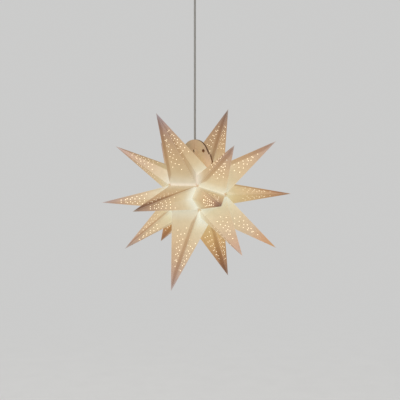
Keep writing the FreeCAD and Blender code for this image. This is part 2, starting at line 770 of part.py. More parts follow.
base_disc = cylinder("base_disc", "Sizes.base_radius", "Sizes.base_height", "-Sizes.base_height")
base_holes = []
for tag, sign in (("right", ""), ("left", "-")):
    bore = cylinder("base_bore_" + tag, "Sizes.screw_hole_radius", "Sizes.base_height", "-Sizes.base_height")
    base_holes.append(bind(bore, Base_x=sign + "Sizes.screw_hole_offset"))
base_piece = cut("ceiling_base", base_disc, fused("base_bores", base_holes))
block_piece = bind(
    doc.addObject("Part::Box", "terminal_block"),
    Length="Sizes.block_length",
    Width="Sizes.block_width",
    Height="Sizes.block_height",
    Base_x="-Sizes.block_length / 2",
    Base_y="-Sizes.block_width / 2",
    Base_z="-Sizes.base_height - Sizes.block_height",
)
CUP_BORE = "Sizes.base_radius"
CUP_OUTSIDE = CUP_BORE + " + Sizes.cup_wall"
cup_piece = turned(
    "ceiling_cup",
    [
        ("Sizes.grip_neck_radius + Sizes.slip_fit", "-Sizes.cup_height"),
        (CUP_OUTSIDE + " - Sizes.cup_round", "-Sizes.cup_height", "Sizes.cup_round"),
        (CUP_OUTSIDE, "-Sizes.cup_height + Sizes.cup_round"),
        (CUP_OUTSIDE, "0"),
        (CUP_BORE, "0"),
        (CUP_BORE, "-Sizes.cup_height + Sizes.cup_round"),
        (CUP_OUTSIDE + " - Sizes.cup_round", "-Sizes.cup_height + Sizes.cup_wall"),
        ("Sizes.grip_neck_radius + Sizes.slip_fit", "-Sizes.cup_height + Sizes.cup_wall"),
    ],
)
GRIP_FOOT = "-Sizes.cup_height - Sizes.grip_height"
grip_piece = turned(
    "cord_grip",
    [
        ("Sizes.cord_radius", GRIP_FOOT),
        ("Sizes.grip_end_radius", GRIP_FOOT),
        ("Sizes.grip_radius", GRIP_FOOT + " + Sizes.grip_taper"),
        ("Sizes.grip_radius", "-Sizes.cup_height"),
        ("Sizes.grip_neck_radius", "-Sizes.cup_height"),
        ("Sizes.grip_neck_radius", "-Sizes.cup_height + Sizes.cup_wall + Sizes.nut_height"),
        ("Sizes.cord_radius", "-Sizes.cup_height + Sizes.cup_wall + Sizes.nut_height"),
    ],
)
nut_piece = turned(
    "grip_nut",
    [
        ("Sizes.grip_neck_radius", "-Sizes.cup_height + Sizes.cup_wall"),
        ("Sizes.nut_radius", "-Sizes.cup_height + Sizes.cup_wall"),
        ("Sizes.nut_radius", "-Sizes.cup_height + Sizes.cup_wall + Sizes.nut_height"),
        ("Sizes.grip_neck_radius", "-Sizes.cup_height + Sizes.cup_wall + Sizes.nut_height"),
    ],
)
ceiling = [base_piece, block_piece, cup_piece, grip_piece, nut_piece]

# --------------------------------------------------------------------------------------------------
# Check and write
# --------------------------------------------------------------------------------------------------

doc.recompute()
for thing in doc.Objects:
    for trouble in ("Invalid", "Error"):
        if trouble in thing.State:
            raise RuntimeError("%s is %s" % (thing.Name, trouble))

os.makedirs("parts", exist_ok=True)
for piece in hung + [cord_piece] + ceiling:
    shape = piece.Shape
    if shape.isNull() or not shape.isValid() or len(shape.Solids) != 1:
        raise RuntimeError("%s is not one valid solid" % piece.Label)
    shape.exportStep("parts/%s.step" % piece.Label)
    print("%-22s %10.1f mm3" % (piece.Label, shape.Volume))
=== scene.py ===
# %% [markdown]
# A paper star lantern hangs by its cord from a ceiling cup, with a small bulb alight inside it.
# The measured model is loaded first and is never moved: every finish and every finer piece below
# is laid on it.

# %% The measured model
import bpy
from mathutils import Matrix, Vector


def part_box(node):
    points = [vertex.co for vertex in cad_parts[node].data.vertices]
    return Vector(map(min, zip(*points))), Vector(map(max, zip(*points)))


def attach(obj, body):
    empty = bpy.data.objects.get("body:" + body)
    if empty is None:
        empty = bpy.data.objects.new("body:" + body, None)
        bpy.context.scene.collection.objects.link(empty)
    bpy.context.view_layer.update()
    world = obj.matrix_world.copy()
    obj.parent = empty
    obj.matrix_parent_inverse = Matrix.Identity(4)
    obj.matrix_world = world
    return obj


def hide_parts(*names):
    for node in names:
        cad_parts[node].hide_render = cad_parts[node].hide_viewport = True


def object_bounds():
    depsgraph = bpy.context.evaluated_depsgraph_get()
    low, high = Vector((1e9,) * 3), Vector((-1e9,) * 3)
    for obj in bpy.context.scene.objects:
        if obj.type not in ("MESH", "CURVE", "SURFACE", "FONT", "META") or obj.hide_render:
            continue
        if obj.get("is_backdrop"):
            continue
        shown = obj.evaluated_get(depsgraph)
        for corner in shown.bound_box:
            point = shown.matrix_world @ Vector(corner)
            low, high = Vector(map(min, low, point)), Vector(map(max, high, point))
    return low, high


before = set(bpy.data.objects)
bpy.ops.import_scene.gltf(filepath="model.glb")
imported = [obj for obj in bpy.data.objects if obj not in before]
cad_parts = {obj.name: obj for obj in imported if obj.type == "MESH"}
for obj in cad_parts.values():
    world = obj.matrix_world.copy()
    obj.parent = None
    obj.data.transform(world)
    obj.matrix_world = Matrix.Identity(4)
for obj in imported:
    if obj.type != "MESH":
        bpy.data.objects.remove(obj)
print("measured pieces:", len(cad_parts))

# %% [markdown]
# The tools are Python's own maths, numpy for whole arrays of points at once, and Blender's two
# modules: bpy makes data and objects, and bmesh mends a mesh.

# %% Tools
import math

import bmesh
import bpy
import numpy as np

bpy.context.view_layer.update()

# %% [markdown]
# The star is folded round a level axis, so its own measurements are simplest in the star's frame:
# X along that axis, Z up through the seam. It hangs a little crooked. One turn and one shift take
# any point from the star's frame to the room, and every piece of the star below is drawn with
# them.

# %% The star's frame
TAB_TOP = 0.1585  # above the star's centre
DROP = 0.4765  # from the ceiling down to the top of the tabs
TILT = math.radians(2.23)  # out of plumb
HEADING = math.radians(35.74)  # of the line that the star leans about


def turn_about(axis, angle):
    """The matrix of a turn: the part along the axis stays, the rest goes round it by the angle."""
    x, y, z = axis
    cross = np.array([[0, -z, y], [z, 0, -x], [-y, x, 0]])
    return np.eye(3) + math.sin(angle) * cross + (1 - math.cos(angle)) * cross @ cross


hang_turn = turn_about((math.sin(HEADING), -math.cos(HEADING), 0), TILT)
hang_shift = np.array([0, 0, -DROP]) - hang_turn @ [0, 0, TAB_TOP]


def hung(points):
    """Takes points from the star's frame to the room."""
    return np.asarray(points, float) @ hang_turn.T + hang_shift


def in_star(points):
    """Takes points of the room back to the star's frame."""
    return (np.asarray(points, float) - hang_shift) @ hang_turn


star_centre = hung([0, 0, 0])
print("star centre, mm:", np.round(star_centre * 1000, 1))

# %% [markdown]
# The camera looks almost level at the star, from a good way off, so its spikes hardly grow or
# shrink with distance. The star stands slightly left of the middle and above it, which the lens's
# shift gives without turning the camera.

# %% Camera
AZIMUTH = math.radians(35.74)
ELEVATION = math.radians(5.0)
DISTANCE = 3.1635


def linked(name, data):
    """Makes an object that shows some data, and links it to the scene."""
    made = bpy.data.objects.new(name, data)
    bpy.context.scene.collection.objects.link(made)
    return made


sight = np.array(
    [
        math.sin(AZIMUTH) * math.cos(ELEVATION),
        -math.cos(AZIMUTH) * math.cos(ELEVATION),
        math.sin(ELEVATION),
    ]
)
camera_data = bpy.data.cameras.new("camera")
camera_data.sensor_width = 36
camera_data.lens = 97.78
camera_data.shift_x = 0.0074
camera_data.shift_y = -0.0152
camera_data.clip_end = 100
camera = linked("camera", camera_data)
camera.location = star_centre + sight * DISTANCE
camera.rotation_euler = (math.pi / 2 - ELEVATION, 0, AZIMUTH)
bpy.context.scene.camera = camera
print("camera, m:", np.round(np.array(camera.location), 3))

# %% [markdown]
# The star hangs on its mains cord, a plain round 6 mm lead that its weight pulls straight. It
# could be a turned tube, but a lead is a line with a thickness: a smooth curve through the
# route's own points, with a round bevel. The bevel is as deep as each point's radius says, so the
# curve's own box is right too. It runs from the lampholder, up between the two tabs of the star,
# to the ceiling fitting.

# %% Cord
CORD_DIAMETER = 0.006
CORD_EXIT = 0.0502  # in the lampholder's cap, above the star's centre
CORD_PLUMB = -0.4405  # from this height up the cord hangs plumb
CORD_END = -0.015  # at the foot of the terminal block

cord_exit = hung([0, 0, CORD_EXIT])
cord_points = [cord_exit, (0, 0, -DROP), (0, 0, CORD_PLUMB), (0, 0, CORD_END)]
cord_curve = bpy.data.curves.new("cord_lead", "CURVE")
cord_curve.dimensions = "3D"
cord_line = cord_curve.splines.new("NURBS")
cord_line.points.add(len(cord_points) - 1)
for point, place in zip(cord_line.points, cord_points):
    point.co = (*place, 1)
    point.radius = CORD_DIAMETER / 2
cord_line.order_u = 3
cord_line.use_endpoint_u = True
cord_line.resolution_u = 24
cord_curve.bevel_depth = 1.0
cord_curve.bevel_resolution = 6
cord_curve.use_fill_caps = True
cord = linked("cord_lead", cord_curve)
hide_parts("cord")
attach(cord, "root")

# %% [markdown]
# Every finish below is a small graph of nodes round one Principled shader. Written out link by
# link, a graph is long and hard to read. These helpers add a node and feed its sockets in one
# line, do arithmetic, and fade one number by another, so that a finish reads almost like a
# formula.

# %% Nodes and arithmetic
def new_finish(name):
    """Starts a finish: returns the material, its tree and its shader."""
    material = bpy.data.materials.new(name)
    material.use_nodes = True
    return material, material.node_tree, material.node_tree.nodes["Principled BSDF"]


def add(tree, kind, settings=None, **feeds):
    """Adds a node. Settings are its properties; feeds are values or other nodes' outputs."""
    made = tree.nodes.new("ShaderNode" + kind)
    for key, value in (settings or {}).items():
        setattr(made, key, value)
    settle(tree, made, **feeds)
    return made


def feed(tree, node, socket, value):
    """Sets a socket to a value, or links another node's output to it."""
    target = node.inputs[socket]
    if isinstance(value, bpy.types.NodeSocket):
        tree.links.new(value, target)
    else:
        target.default_value = value


def settle(tree, node, **values):
    """Feeds several of a node's sockets by name; an underscore stands for a space."""
    for key, value in values.items():
        feed(tree, node, key.replace("_", " "), value)


def reckon(tree, operation, first, second=0.0):
    """Arithmetic on two numbers."""
    made = add(tree, "Math", {"operation": operation})
    feed(tree, made, 0, first)
    feed(tree, made, 1, second)
    return made.outputs[0]


def times(tree, first, second):
    """One number times another."""
    return reckon(tree, "MULTIPLY", first, second)


def between(tree, value, start, finish, low, high, pace="LINEAR"):
    """Goes from low to high while the value goes from start to finish, and stays within them."""
    made = add(tree, "MapRange", {"interpolation_type": pace}, Value=value)
    sockets = ("From Min", "From Max", "To Min", "To Max")
    for socket, number in zip(sockets, (start, finish, low, high)):
        made.inputs[socket].default_value = number
    return made.outputs["Result"]


def fade(tree, value, start, end):
    """Goes smoothly from 0 where the value is at start to 1 where it is at end."""
    return between(tree, value, start, end, 0.0, 1.0, "SMOOTHSTEP")


trial = new_finish("trial")
print("sockets that a finish can feed:", len(trial[2].inputs))
bpy.data.materials.remove(trial[0])

# %% [markdown]
# Colours are laid over each other like glazes: each layer multiplies, mixes with or adds to what
# is under it, by a share. Noise drives most of the shares, because no real surface is even. A
# shader counts in linear light, while a colour is easier to choose as it looks on a screen, so
# the last helper turns one into the other.

# %% Colours and textures
def lay(tree, mode, share, under, over):
    """Lays one colour over another in a mixing mode, by a share."""
    made = add(tree, "Mix", {"data_type": "RGBA", "blend_type": mode})
    for socket, value in ((0, share), (6, under), (7, over)):
        feed(tree, made, socket, value)
    return made.outputs[2]


def tones(tree, value, *stops):
    """A ramp of colours: each stop is a place from 0 to 1 and a colour."""
    made = add(tree, "ValToRGB")
    ramp = made.color_ramp
    while len(ramp.elements) < len(stops):
        ramp.elements.new(0.5)
    # All places come first, because a stop that moves past another changes their order.
    for element, (place, colour) in zip(ramp.elements, stops):
        element.position = place
    for element, (place, colour) in zip(ramp.elements, stops):
        element.color = (*colour, 1)
    feed(tree, made, 0, value)
    return made.outputs[0]


def speckle(tree, scale, detail=3.0, stretch=None):
    """Cloudy noise on Object coordinates, from 0 to 1; stretch scales the three directions."""
    place = add(tree, "TexCoord").outputs["Object"]
    if stretch is not None:
        place = add(tree, "Mapping", Vector=place, Scale=stretch).outputs[0]
    noise = add(tree, "TexNoise", Vector=place, Scale=scale, Detail=detail)
    return noise.outputs["Fac"]


def roughen(tree, shader, height, strength, depth):
    """Bumps the surface by a height pattern; depth is in metres."""
    bump = add(tree, "Bump", Strength=strength, Distance=depth, Height=height)
    tree.links.new(bump.outputs[0], shader.inputs["Normal"])


def mix_shaders(tree, share, first, second, output):
    """Sends the first shader to an output, and the second one instead by a share."""
    mix = add(tree, "MixShader")
    for socket, source in enumerate((share, first, second)):
        tree.links.new(source, mix.inputs[socket])
    tree.links.new(mix.outputs[0], output)


def srgb(red, green, blue):
    """A colour as it looks on a screen, 0 to 255, as the linear numbers that a shader takes."""
    share = np.array([red, green, blue]) / 255
    linear = np.where(share <= 0.04045, share / 12.92, ((share + 0.055) / 1.055) ** 2.4)
    return tuple(float(part) for part in linear)


print("half grey on a screen is", round(srgb(128, 128, 128)[0], 3), "to a shader")

# %% [markdown]
# The star is eighteen long spikes, each a sheet of paper folded to a point: six wide ones round
# its middle, and a ring of six on each side of them. A spike could be drawn facet by facet, but
# all of them meet at the same few corners: two poles on the axis, a valley between every two wide
# spikes, and a crease where a wide spike's inward fold ends. So only those corners are worked
# out, from an angle round the axis and a radius, and every spike is a tip and the corners at its
# feet.

# %% Corners of the folded star
WIDE_REACH = 0.300
RING_REACH = 0.278
RING_LEAN = math.radians(49)
SEAM_ANGLE = 36.4
POLE_DIP = 0.0995
VALLEY = (0.0707, 0.0487)
CREASE = (0.0735, 0.0358)
SEAM_HALF = 0.0035
COLUMNS = 6

column_step = (360 - 2 * SEAM_ANGLE) / (COLUMNS - 1)
column_angles = SEAM_ANGLE + column_step * np.arange(COLUMNS)
valley_angles = np.concatenate([[0], column_angles[:-1] + column_step / 2, [360]])


def round_star(angle, radius, along, aside=0.0):
    """A point at an angle from straight up towards -Y, at a radius from the star's axis."""
    turn = math.radians(angle)
    return np.array([along, -radius * math.sin(turn) + aside, radius * math.cos(turn)])


def valley(index, side):
    """The corner between two columns, on the front (+1) or the back (-1) of the star."""
    aside = {0: -SEAM_HALF, COLUMNS: SEAM_HALF}.get(index, 0.0)
    return round_star(valley_angles[index], VALLEY[0], side * VALLEY[1], aside)


def crease(column, side):
    """The corner where a wide spike's inward fold meets the ring spike beside it."""
    return round_star(column_angles[column], CREASE[0], side * CREASE[1])


def wide_corners(column):
    """The tip of a wide spike and its six feet, in the room."""
    tip = round_star(column_angles[column], WIDE_REACH, 0)
    feet = [
        valley(column, 1),
        valley(column, -1),
        crease(column, -1),
        valley(column + 1, -1),
        valley(column + 1, 1),
        crease(column, 1),
    ]
    return hung(tip), hung(feet)


def ring_corners(column, side):
    """The tip of a ring spike and its four feet, in the room."""
    reach = RING_REACH * math.cos(RING_LEAN)
    tip = round_star(column_angles[column], reach, side * RING_REACH * math.sin(RING_LEAN))
    feet = [
        np.array([side * POLE_DIP, 0, 0]),
        valley(column, side),
        crease(column, side),
        valley(column + 1, side),
    ]
    if side < 0:
        feet = [feet[0]] + feet[:0:-1]
    return hung(tip), hung(feet)


# Each wide spike's glue flap: its facet, and whether it hangs from that facet's first fold.
WIDE_FLAPS = ((3, True), (0, True), (0, True), (0, True), (0, True), (3, False))
RING_FLAP = (3, True)

spikes = {}
for column in range(COLUMNS):
    spikes["wide_spike_%d" % (column + 1)] = (*wide_corners(column), WIDE_FLAPS[column])
    for word, side in (("front", 1), ("back", -1)):
        spikes["ring_spike_%s_%d" % (word, column + 1)] = (*ring_corners(column, side), RING_FLAP)
for name, (tip, feet, flap) in spikes.items():
    low, high = (np.array(corner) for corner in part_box(name))
    outside = np.maximum(np.maximum(low - tip, tip - high), 0).max()
    assert outside < 1e-4, name
print(len(spikes), "spikes, every tip within 0.1 mm of its solid's box")

# %% [markdown]
# Paper looks different at its tip, at its folds and over its glue, so the finish has to know
# where each spot lies on its own facet. An unwrapped map could say so, but on a flat facet the
# measures are straight lines: the share of the way from tip to base, and the distance from each
# fold. Each is the arm from the tip times one fixed vector, so a facet needs no more than four
# vectors, its gauges.

# %% Measures on a facet
def unit(vectors):
    """Vectors divided by their lengths."""
    return vectors / np.linalg.norm(vectors, axis=-1, keepdims=True)


def facet_gauges(tip, feet):
    """Linear gauges of each facet: a vector whose product with (point - tip) gives the measure.

    Inwards is the depth below the facet. The share gauge lies in the facet and gives 1 at both
    feet, so 0 at the tip and 1 all along the base. The fold gauges are the folds' in-plane normals.
    """
    first = feet - tip
    second = np.roll(feet, -1, axis=0) - tip
    inwards = -unit(np.cross(first, second))
    from_first = unit(np.cross(first, inwards))
    from_first *= np.sign((from_first * second).sum(1))[:, None]
    from_second = unit(np.cross(second, inwards))
    from_second *= np.sign((from_second * first).sum(1))[:, None]
    share = from_first / (from_first * second).sum(1)[:, None]
    share = share + from_second / (from_second * first).sum(1)[:, None]
    return inwards, share, from_first, from_second


tip, feet, flap = spikes["wide_spike_1"]
gauges = facet_gauges(tip, feet)
print("share at the two feet of a facet:", np.round((feet[:2] - tip) @ gauges[1][0], 6))

# %% [markdown]
# A mesh is a list of corners and a list of faces. These helpers read a measured solid's mesh,
# make a new one from whole arrays, hang it in the place of its solid, and store measures on it as
# named attributes, which a finish can read.

# %% Helpers for meshes
def read(collection, key):
    """Reads one triple a member, such as a place, from a Blender list as an array."""
    values = np.zeros(len(collection) * 3, np.float32)
    collection.foreach_get(key, values)
    return values.reshape(-1, 3).astype(float)


def welded(points, triangles):
    """Merges corners that share a place to 1 micron, and drops triangles that lose their area."""
    keys, index = np.unique(np.round(points * 1e6).astype(np.int64), axis=0, return_inverse=True)
    index = index.reshape(-1)
    places = np.zeros((len(keys), 3))
    places[index] = points
    faces = index[triangles]
    whole = (faces != np.roll(faces, 1, axis=1)).all(1)
    return places, faces[whole]


def mesh_of(node):
    """The corners and triangles of a measured solid."""
    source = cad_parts[node].data
    source.calc_loop_triangles()
    triangles = np.zeros(len(source.loop_triangles) * 3, np.int32)
    source.loop_triangles.foreach_get("vertices", triangles)
    return welded(read(source.vertices, "co"), triangles.reshape(-1, 3))


def new_mesh(name, points, faces, smooth=False):
    """Makes a mesh object from arrays of corners and faces."""
    mesh = bpy.data.meshes.new(name)
    mesh.from_pydata(points.tolist(), [], faces.tolist())
    mesh.polygons.foreach_set("use_smooth", np.full(len(mesh.polygons), smooth))
    mesh.update()
    return linked(name, mesh)


def new_piece(name, points, faces, node, smooth=False):
    """Makes a mesh object that stands for a measured solid and rides with the star."""
    piece = new_mesh(name, points, faces, smooth)
    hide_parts(node)
    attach(piece, "root")
    return piece


def finish_by_face(piece, materials, index):
    """Gives a piece several finishes, and each face the number of its own."""
    for material in materials:
        piece.data.materials.append(material)
    piece.data.polygons.foreach_set("material_index", np.asarray(index, np.int32))
    piece.data.update()


def store(piece, label, values, domain="CORNER"):
    """Stores a triple of measures for each corner of each face, or for each point."""
    made = piece.data.attributes.new(label, "FLOAT_VECTOR", domain)
    made.data.foreach_set("vector", values.astype(np.float32).ravel())


points, triangles = mesh_of("wide_spike_1")
print("one spike's solid:", len(points), "corners,", len(triangles), "triangles")

# %% [markdown]
# The paper is white, but it never looks white: lit from inside, it glows cream near the bulb and
# falls to a brownish pink at the tips, where hardly any light gets through. Real translucency
# would need thousands of samples to look clean, so the light that comes through is written as a
# glow that follows each spot's share from tip to base. The base colour under it is painted light
# and shade too: it follows the same share, brownish pink at the tips and cream at the base.

# %% Tones of the paper
# Base colour from tip to base: painted light and shade over white paper, brownish pink at the tips
# and cream at the base.
PAINTED_PAPER_TONES = (
    (0.00, srgb(192, 178, 174)),
    (0.08, srgb(184, 166, 157)),
    (0.15, srgb(182, 159, 146)),
    (0.35, srgb(180, 156, 132)),
    (0.60, srgb(187, 163, 135)),
    (0.85, srgb(196, 178, 150)),
    (1.00, srgb(204, 190, 164)),
)
GLOW = (
    (0.00, (0.0, 0.0, 0.0)),
    (0.10, (0.060, 0.025, 0.010)),
    (0.25, (0.150, 0.080, 0.040)),
    (0.45, (0.230, 0.155, 0.080)),
    (0.65, (0.270, 0.205, 0.110)),
    (0.85, (0.290, 0.260, 0.165)),
    (0.95, (0.300, 0.315, 0.255)),
    (1.00, (0.300, 0.325, 0.280)),
)
# LEAK and EDGE are painted light: white light let out near a facet's base and along an open base
# fold.
LEAK = (0.115, 0.155, 0.195, 1)  # what a facet that lies close to the bulb adds towards its base
EDGE = (0.13, 0.105, 0.105, 1)  # what a base fold that stands open a little adds along its edge
WHITE = (1, 1, 1, 1)

print("stops from tip to base: paper", len(PAINTED_PAPER_TONES), "and glow", len(GLOW))

# %% [markdown]
# Each spike is closed by a flap, glued inside along one fold. Two layers of paper with glue
# between them let less light through, so the flap shows outside as a darker band. Its thickness
# could be measured at every spot, but the band has a simple outline, so it is drawn from the
# distance to its fold: narrow at the tip, wide in the middle and tapered before the base.

# %% Glued folds
FLAP_START, FLAP_FULL, FLAP_TAPER, FLAP_END = 0.05, 0.22, 0.84, 0.95  # shares from tip to base
FLAP_WIDTH = 0.011
FLAP_START_WIDTH = 0.0024
GLUED = (0.76, 0.67, 0.60, 1)
HEAVILY_GLUED = (0.78, 0.74, 0.71, 1)
# Painted shadow of the glued flap, on the far side of its fold.
FLAP_SHADOW_BEYOND_FOLD = (0.90, 0.88, 0.86, 1)
# Painted shade in the corners where spikes meet at their base.
CORNER_SHADE = (0.80, 0.60, 0.38, 1)


def flap_width(tree, share):
    """The glue flap's width along its fold: it widens from the tip and tapers before the base."""
    widening = between(tree, share, FLAP_START, FLAP_FULL, FLAP_START_WIDTH, FLAP_WIDTH)
    return times(tree, widening, between(tree, share, FLAP_TAPER, FLAP_END, 1.0, 0.0))


def glue_and_painted_shade(tree, share, glue, corner):
    """What two layers and glue take from the light: dull over the flap, with a soft edge.

    Painted shade shows on the other side of the flap's fold, where the flap's shadow falls, and a
    speck of painted shade at each corner where spikes meet. A heavy band is up to 1.9 times as
    wide, and no wider than any other near the base.
    """
    own, other, heavy = add(tree, "SeparateXYZ", Vector=glue).outputs
    heavy = times(tree, heavy, fade(tree, share, 0.75, 0.45))
    wider = reckon(tree, "ADD", times(tree, heavy, 0.9), 1.0)
    from_fold = reckon(tree, "DIVIDE", own, wider)
    past_flap = reckon(tree, "SUBTRACT", from_fold, flap_width(tree, share))
    along = times(tree, fade(tree, share, 0.03, 0.09), fade(tree, share, 0.97, 0.90))
    band = times(tree, fade(tree, past_flap, 0.0040, -0.0022), along)
    # Painted shadow beyond the flap's fold, and painted shade in the corners where spikes meet.
    flap_shadow = times(tree, fade(tree, other, 0.0085, 0.0030), along)
    corner_shading = times(tree, fade(tree, corner, 0.0045, 0.0010), fade(tree, share, 0.955, 0.985))
    pulp_and_light = lay(tree, "MULTIPLY", times(tree, band, 0.9), WHITE, GLUED)
    pulp_and_light = lay(tree, "MULTIPLY", times(tree, band, heavy), pulp_and_light, HEAVILY_GLUED)
    pulp_and_light = lay(tree, "MULTIPLY", flap_shadow, pulp_and_light, FLAP_SHADOW_BEYOND_FOLD)
    return lay(tree, "MULTIPLY", corner_shading, pulp_and_light, CORNER_SHADE)


print("flap, mm wide:", FLAP_START_WIDTH * 1000, "near the tip,", FLAP_WIDTH * 1000, "further on")

# %% [markdown]
# The outside and the inside of the paper are two finishes. The outside has all that shows: tone
# and glow by the share from tip to base, glue, clouds and fibres of the pulp, a painted highlight
# that makes the folds a little paler, and a paler tip. The inside shows only through the
# pin-holes, as points of light, so it is plain and bright.

# %% Paper finishes
def paper_finish():
    """The outside of the lit paper: its own colour, and the light through it as a glow."""
    material, tree, shader = new_finish("lit_paper")
    fold, glue, leaks, passed, tint = (
        add(tree, "Attribute", {"attribute_name": label}).outputs["Vector"]
        for label in ("fold", "glue", "leaks", "passed", "tint")
    )
    share, rim, other_rim = add(tree, "SeparateXYZ", Vector=fold).outputs
    leak, edge, reach = add(tree, "SeparateXYZ", Vector=leaks).outputs
    corner = reckon(tree, "MINIMUM", rim, other_rim)

    # Glue and its painted shade, then clouds and fibres of the paper, the facet's own share of
    # light and the tip's tint.
    pulp_and_light = glue_and_painted_shade(tree, share, glue, corner)
    fibre = speckle(tree, 900, 4)
    clouded = fade(tree, speckle(tree, 55, 2), 0.35, 0.70)
    pulp_and_light = lay(tree, "MULTIPLY", clouded, pulp_and_light, (0.955, 0.950, 0.940, 1))
    pulp_and_light = lay(tree, "MULTIPLY", fade(tree, fibre, 0.42, 0.66), pulp_and_light, (0.955, 0.95, 0.94, 1))
    pulp_and_light = lay(tree, "MULTIPLY", 1.0, pulp_and_light, passed)
    past_tip = add(tree, "Clamp", Value=reckon(tree, "DIVIDE", share, reach)).outputs["Result"]
    pulp_and_light = lay(tree, "MULTIPLY", 1.0, pulp_and_light, lay(tree, "MIX", past_tip, tint, WHITE))

    # A painted highlight makes the folds a little paler, and the tip is paler too.
    fold_highlight = times(tree, fade(tree, corner, 0.0013, 0.0002), 0.35)
    pale_tip = times(tree, fade(tree, share, 0.045, 0.012), 0.7)
    highlight_and_pale_tip = reckon(tree, "MAXIMUM", fold_highlight, pale_tip)
    # The base colour follows the painted ramp of light and shade from tip to base.
    colour = lay(tree, "MULTIPLY", 1.0, tones(tree, share, *PAINTED_PAPER_TONES), pulp_and_light)
    colour = lay(tree, "MIX", highlight_and_pale_tip, colour, (*srgb(205, 194, 186), 1))

    glow = lay(tree, "MULTIPLY", 1.0, tones(tree, share, *GLOW), pulp_and_light)
    glow = lay(tree, "ADD", times(tree, leak, fade(tree, share, 0.76, 1.0)), glow, LEAK)
    glow = lay(tree, "ADD", times(tree, edge, fade(tree, share, 0.945, 0.985)), glow, EDGE)
    settle(tree, shader, Base_Color=colour, Emission_Color=glow, Emission_Strength=1.0)
    settle(tree, shader, Roughness=0.88, Specular_IOR_Level=0.25)
    roughen(tree, shader, fibre, 0.25, 0.0002)
    return material


def paper_inside_finish(name, strength):
    """The inside of the paper, close to the bulb, which the pin-holes show as points of light."""
    material, tree, shader = new_finish(name)
    cloud = speckle(tree, 120, 3)
    paper = tones(tree, cloud, (0.3, srgb(202, 193, 176)), (0.7, srgb(209, 202, 188)))
    lit = tones(tree, cloud, (0.3, (1.0, 0.89, 0.69)), (0.7, (1.0, 0.93, 0.77)))
    settle(tree, shader, Base_Color=paper, Emission_Color=lit)
    settle(tree, shader, Emission_Strength=strength, Roughness=0.9)
    roughen(tree, shader, speckle(tree, 900, 4), 0.25, 0.0002)
    return material


lit_paper = paper_finish()
lit_paper_inside = paper_inside_finish("lit_paper_inside", 0.57)
# Two spikes point towards the viewer, and through their pin-holes the lamp's own brightness shows.
facing_insides = {
    "ring_spike_front_1": paper_inside_finish("lit_paper_inside_turned", 0.72),
    "ring_spike_front_2": paper_inside_finish("lit_paper_inside_facing", 1.15),
}
print("nodes in the lit paper:", len(lit_paper.node_tree.nodes))

# %% [markdown]
# No two facets of a paper star look alike: one stands square to the bulb, another turns away from
# it or lies over a second layer. One even glow would look like plastic. So a few facets are told
# how much of the light they pass, in red, green and blue, and a few more let white light leak out
# near their base or along its edge. The rest differ by a few percent, drawn from a seed.

# %% Light that facets pass
PASSED = {  # red, green and blue, by spike and facet
    "wide_spike_1": {3: (0.86, 0.82, 0.77), 4: (0.78, 0.71, 0.64), 5: (0.93, 0.91, 0.89)},
    "wide_spike_2": {0: (0.83, 0.75, 0.67), 4: (0.98, 1.01, 1.05), 5: (1.00, 1.01, 1.01)},
    "wide_spike_3": {0: (0.95, 0.95, 0.97), 4: (1.06, 1.12, 1.22), 5: (1.12, 1.18, 1.27)},
    "wide_spike_4": {0: (0.99, 0.86, 0.64), 4: (0.98, 0.88, 0.68), 5: (1.05, 0.90, 0.68)},
    "wide_spike_6": {3: (0.73, 0.66, 0.61), 4: (0.88, 0.80, 0.73), 5: (0.88, 0.82, 0.76)},
    "ring_spike_front_1": {2: (0.88, 0.82, 0.77), 3: (1.05, 1.06, 1.08)},
    "ring_spike_front_2": {0: (0.88, 0.84, 0.77), 1: (0.92, 0.87, 0.81), 2: (0.94, 0.90, 0.84)},
    "ring_spike_front_3": {0: (1.05, 1.12, 1.20)},
    "ring_spike_front_4": {0: (1.10, 1.18, 1.30)},
    "ring_spike_front_5": {0: (1.02, 0.99, 0.86), 3: (1.01, 0.99, 0.92)},
    "ring_spike_front_6": {3: (1.02, 1.04, 1.07)},
    "ring_spike_back_1": {1: (1.00, 1.02, 1.12), 2: (0.80, 0.78, 0.72)},
    "ring_spike_back_2": {2: (1.00, 1.05, 1.15)},
    "ring_spike_back_3": {2: (1.06, 1.12, 1.16)},
    "ring_spike_back_4": {3: (0.93, 0.74, 0.50)},
}
LEAKS = {
    "wide_spike_1": {3: 0.45, 4: 0.55, 5: 0.30},
    "wide_spike_2": {4: 0.75, 5: 0.85},
    "wide_spike_3": {0: 0.2, 4: 0.4, 5: 0.6},
    "ring_spike_front_1": {2: 0.7, 3: 0.25},
    "ring_spike_front_2": {0: 0.5, 1: 0.3, 2: 0.05},
}
EDGES = {
    "wide_spike_1": {3: 1.0, 4: 1.6, 5: 0.8},
    "wide_spike_2": {0: 0.3},
    "ring_spike_front_2": {0: 0.6},
}
HEAVY_GLUE = {"wide_spike_2": 1.0, "wide_spike_4": 0.5}  # bands darker and wider than the rest
GUSSETS = (1, 2, 4, 5)
GUSSET_LEAK, OTHER_LEAK = 0.12, 0.05
UNEVENNESS = 0.04
chance = np.random.default_rng(7)


def facet_light(name, facets):
    """What each facet passes in red, green and blue, how much it leaks, and at its edge."""
    passed = np.ones((facets, 3)) * (1 + chance.uniform(-UNEVENNESS, UNEVENNESS, (facets, 1)))
    leak = np.where(np.isin(np.arange(facets), GUSSETS), GUSSET_LEAK, OTHER_LEAK)
    edge = np.zeros(facets)
    for values, table in ((passed, PASSED), (leak, LEAKS), (edge, EDGES)):
        for facet, value in table.get(name, {}).items():
            values[facet] = value
    return passed, leak, edge


for doing, table in (("pass their own share of light:", PASSED), ("leak white light:", LEAKS)):
    print("facets that", doing, sum(len(facets) for facets in table.values()))


# %% [markdown]
# A spike's solid is a heap of triangles: outer faces, inner faces, walls of pin-holes and the
# flap. The finish has to know which facet each one belongs to. Its direction doesn't tell for
# sure, but its place does: it lies in the thin sheet under one facet, between that facet's two
# folds.

# %% Triangles on their facets
ON_FACE = 0.00008  # a corner of the outer face lies no further than this off its facet
SHEET = 0.0007  # paper and flap together are no thicker than this


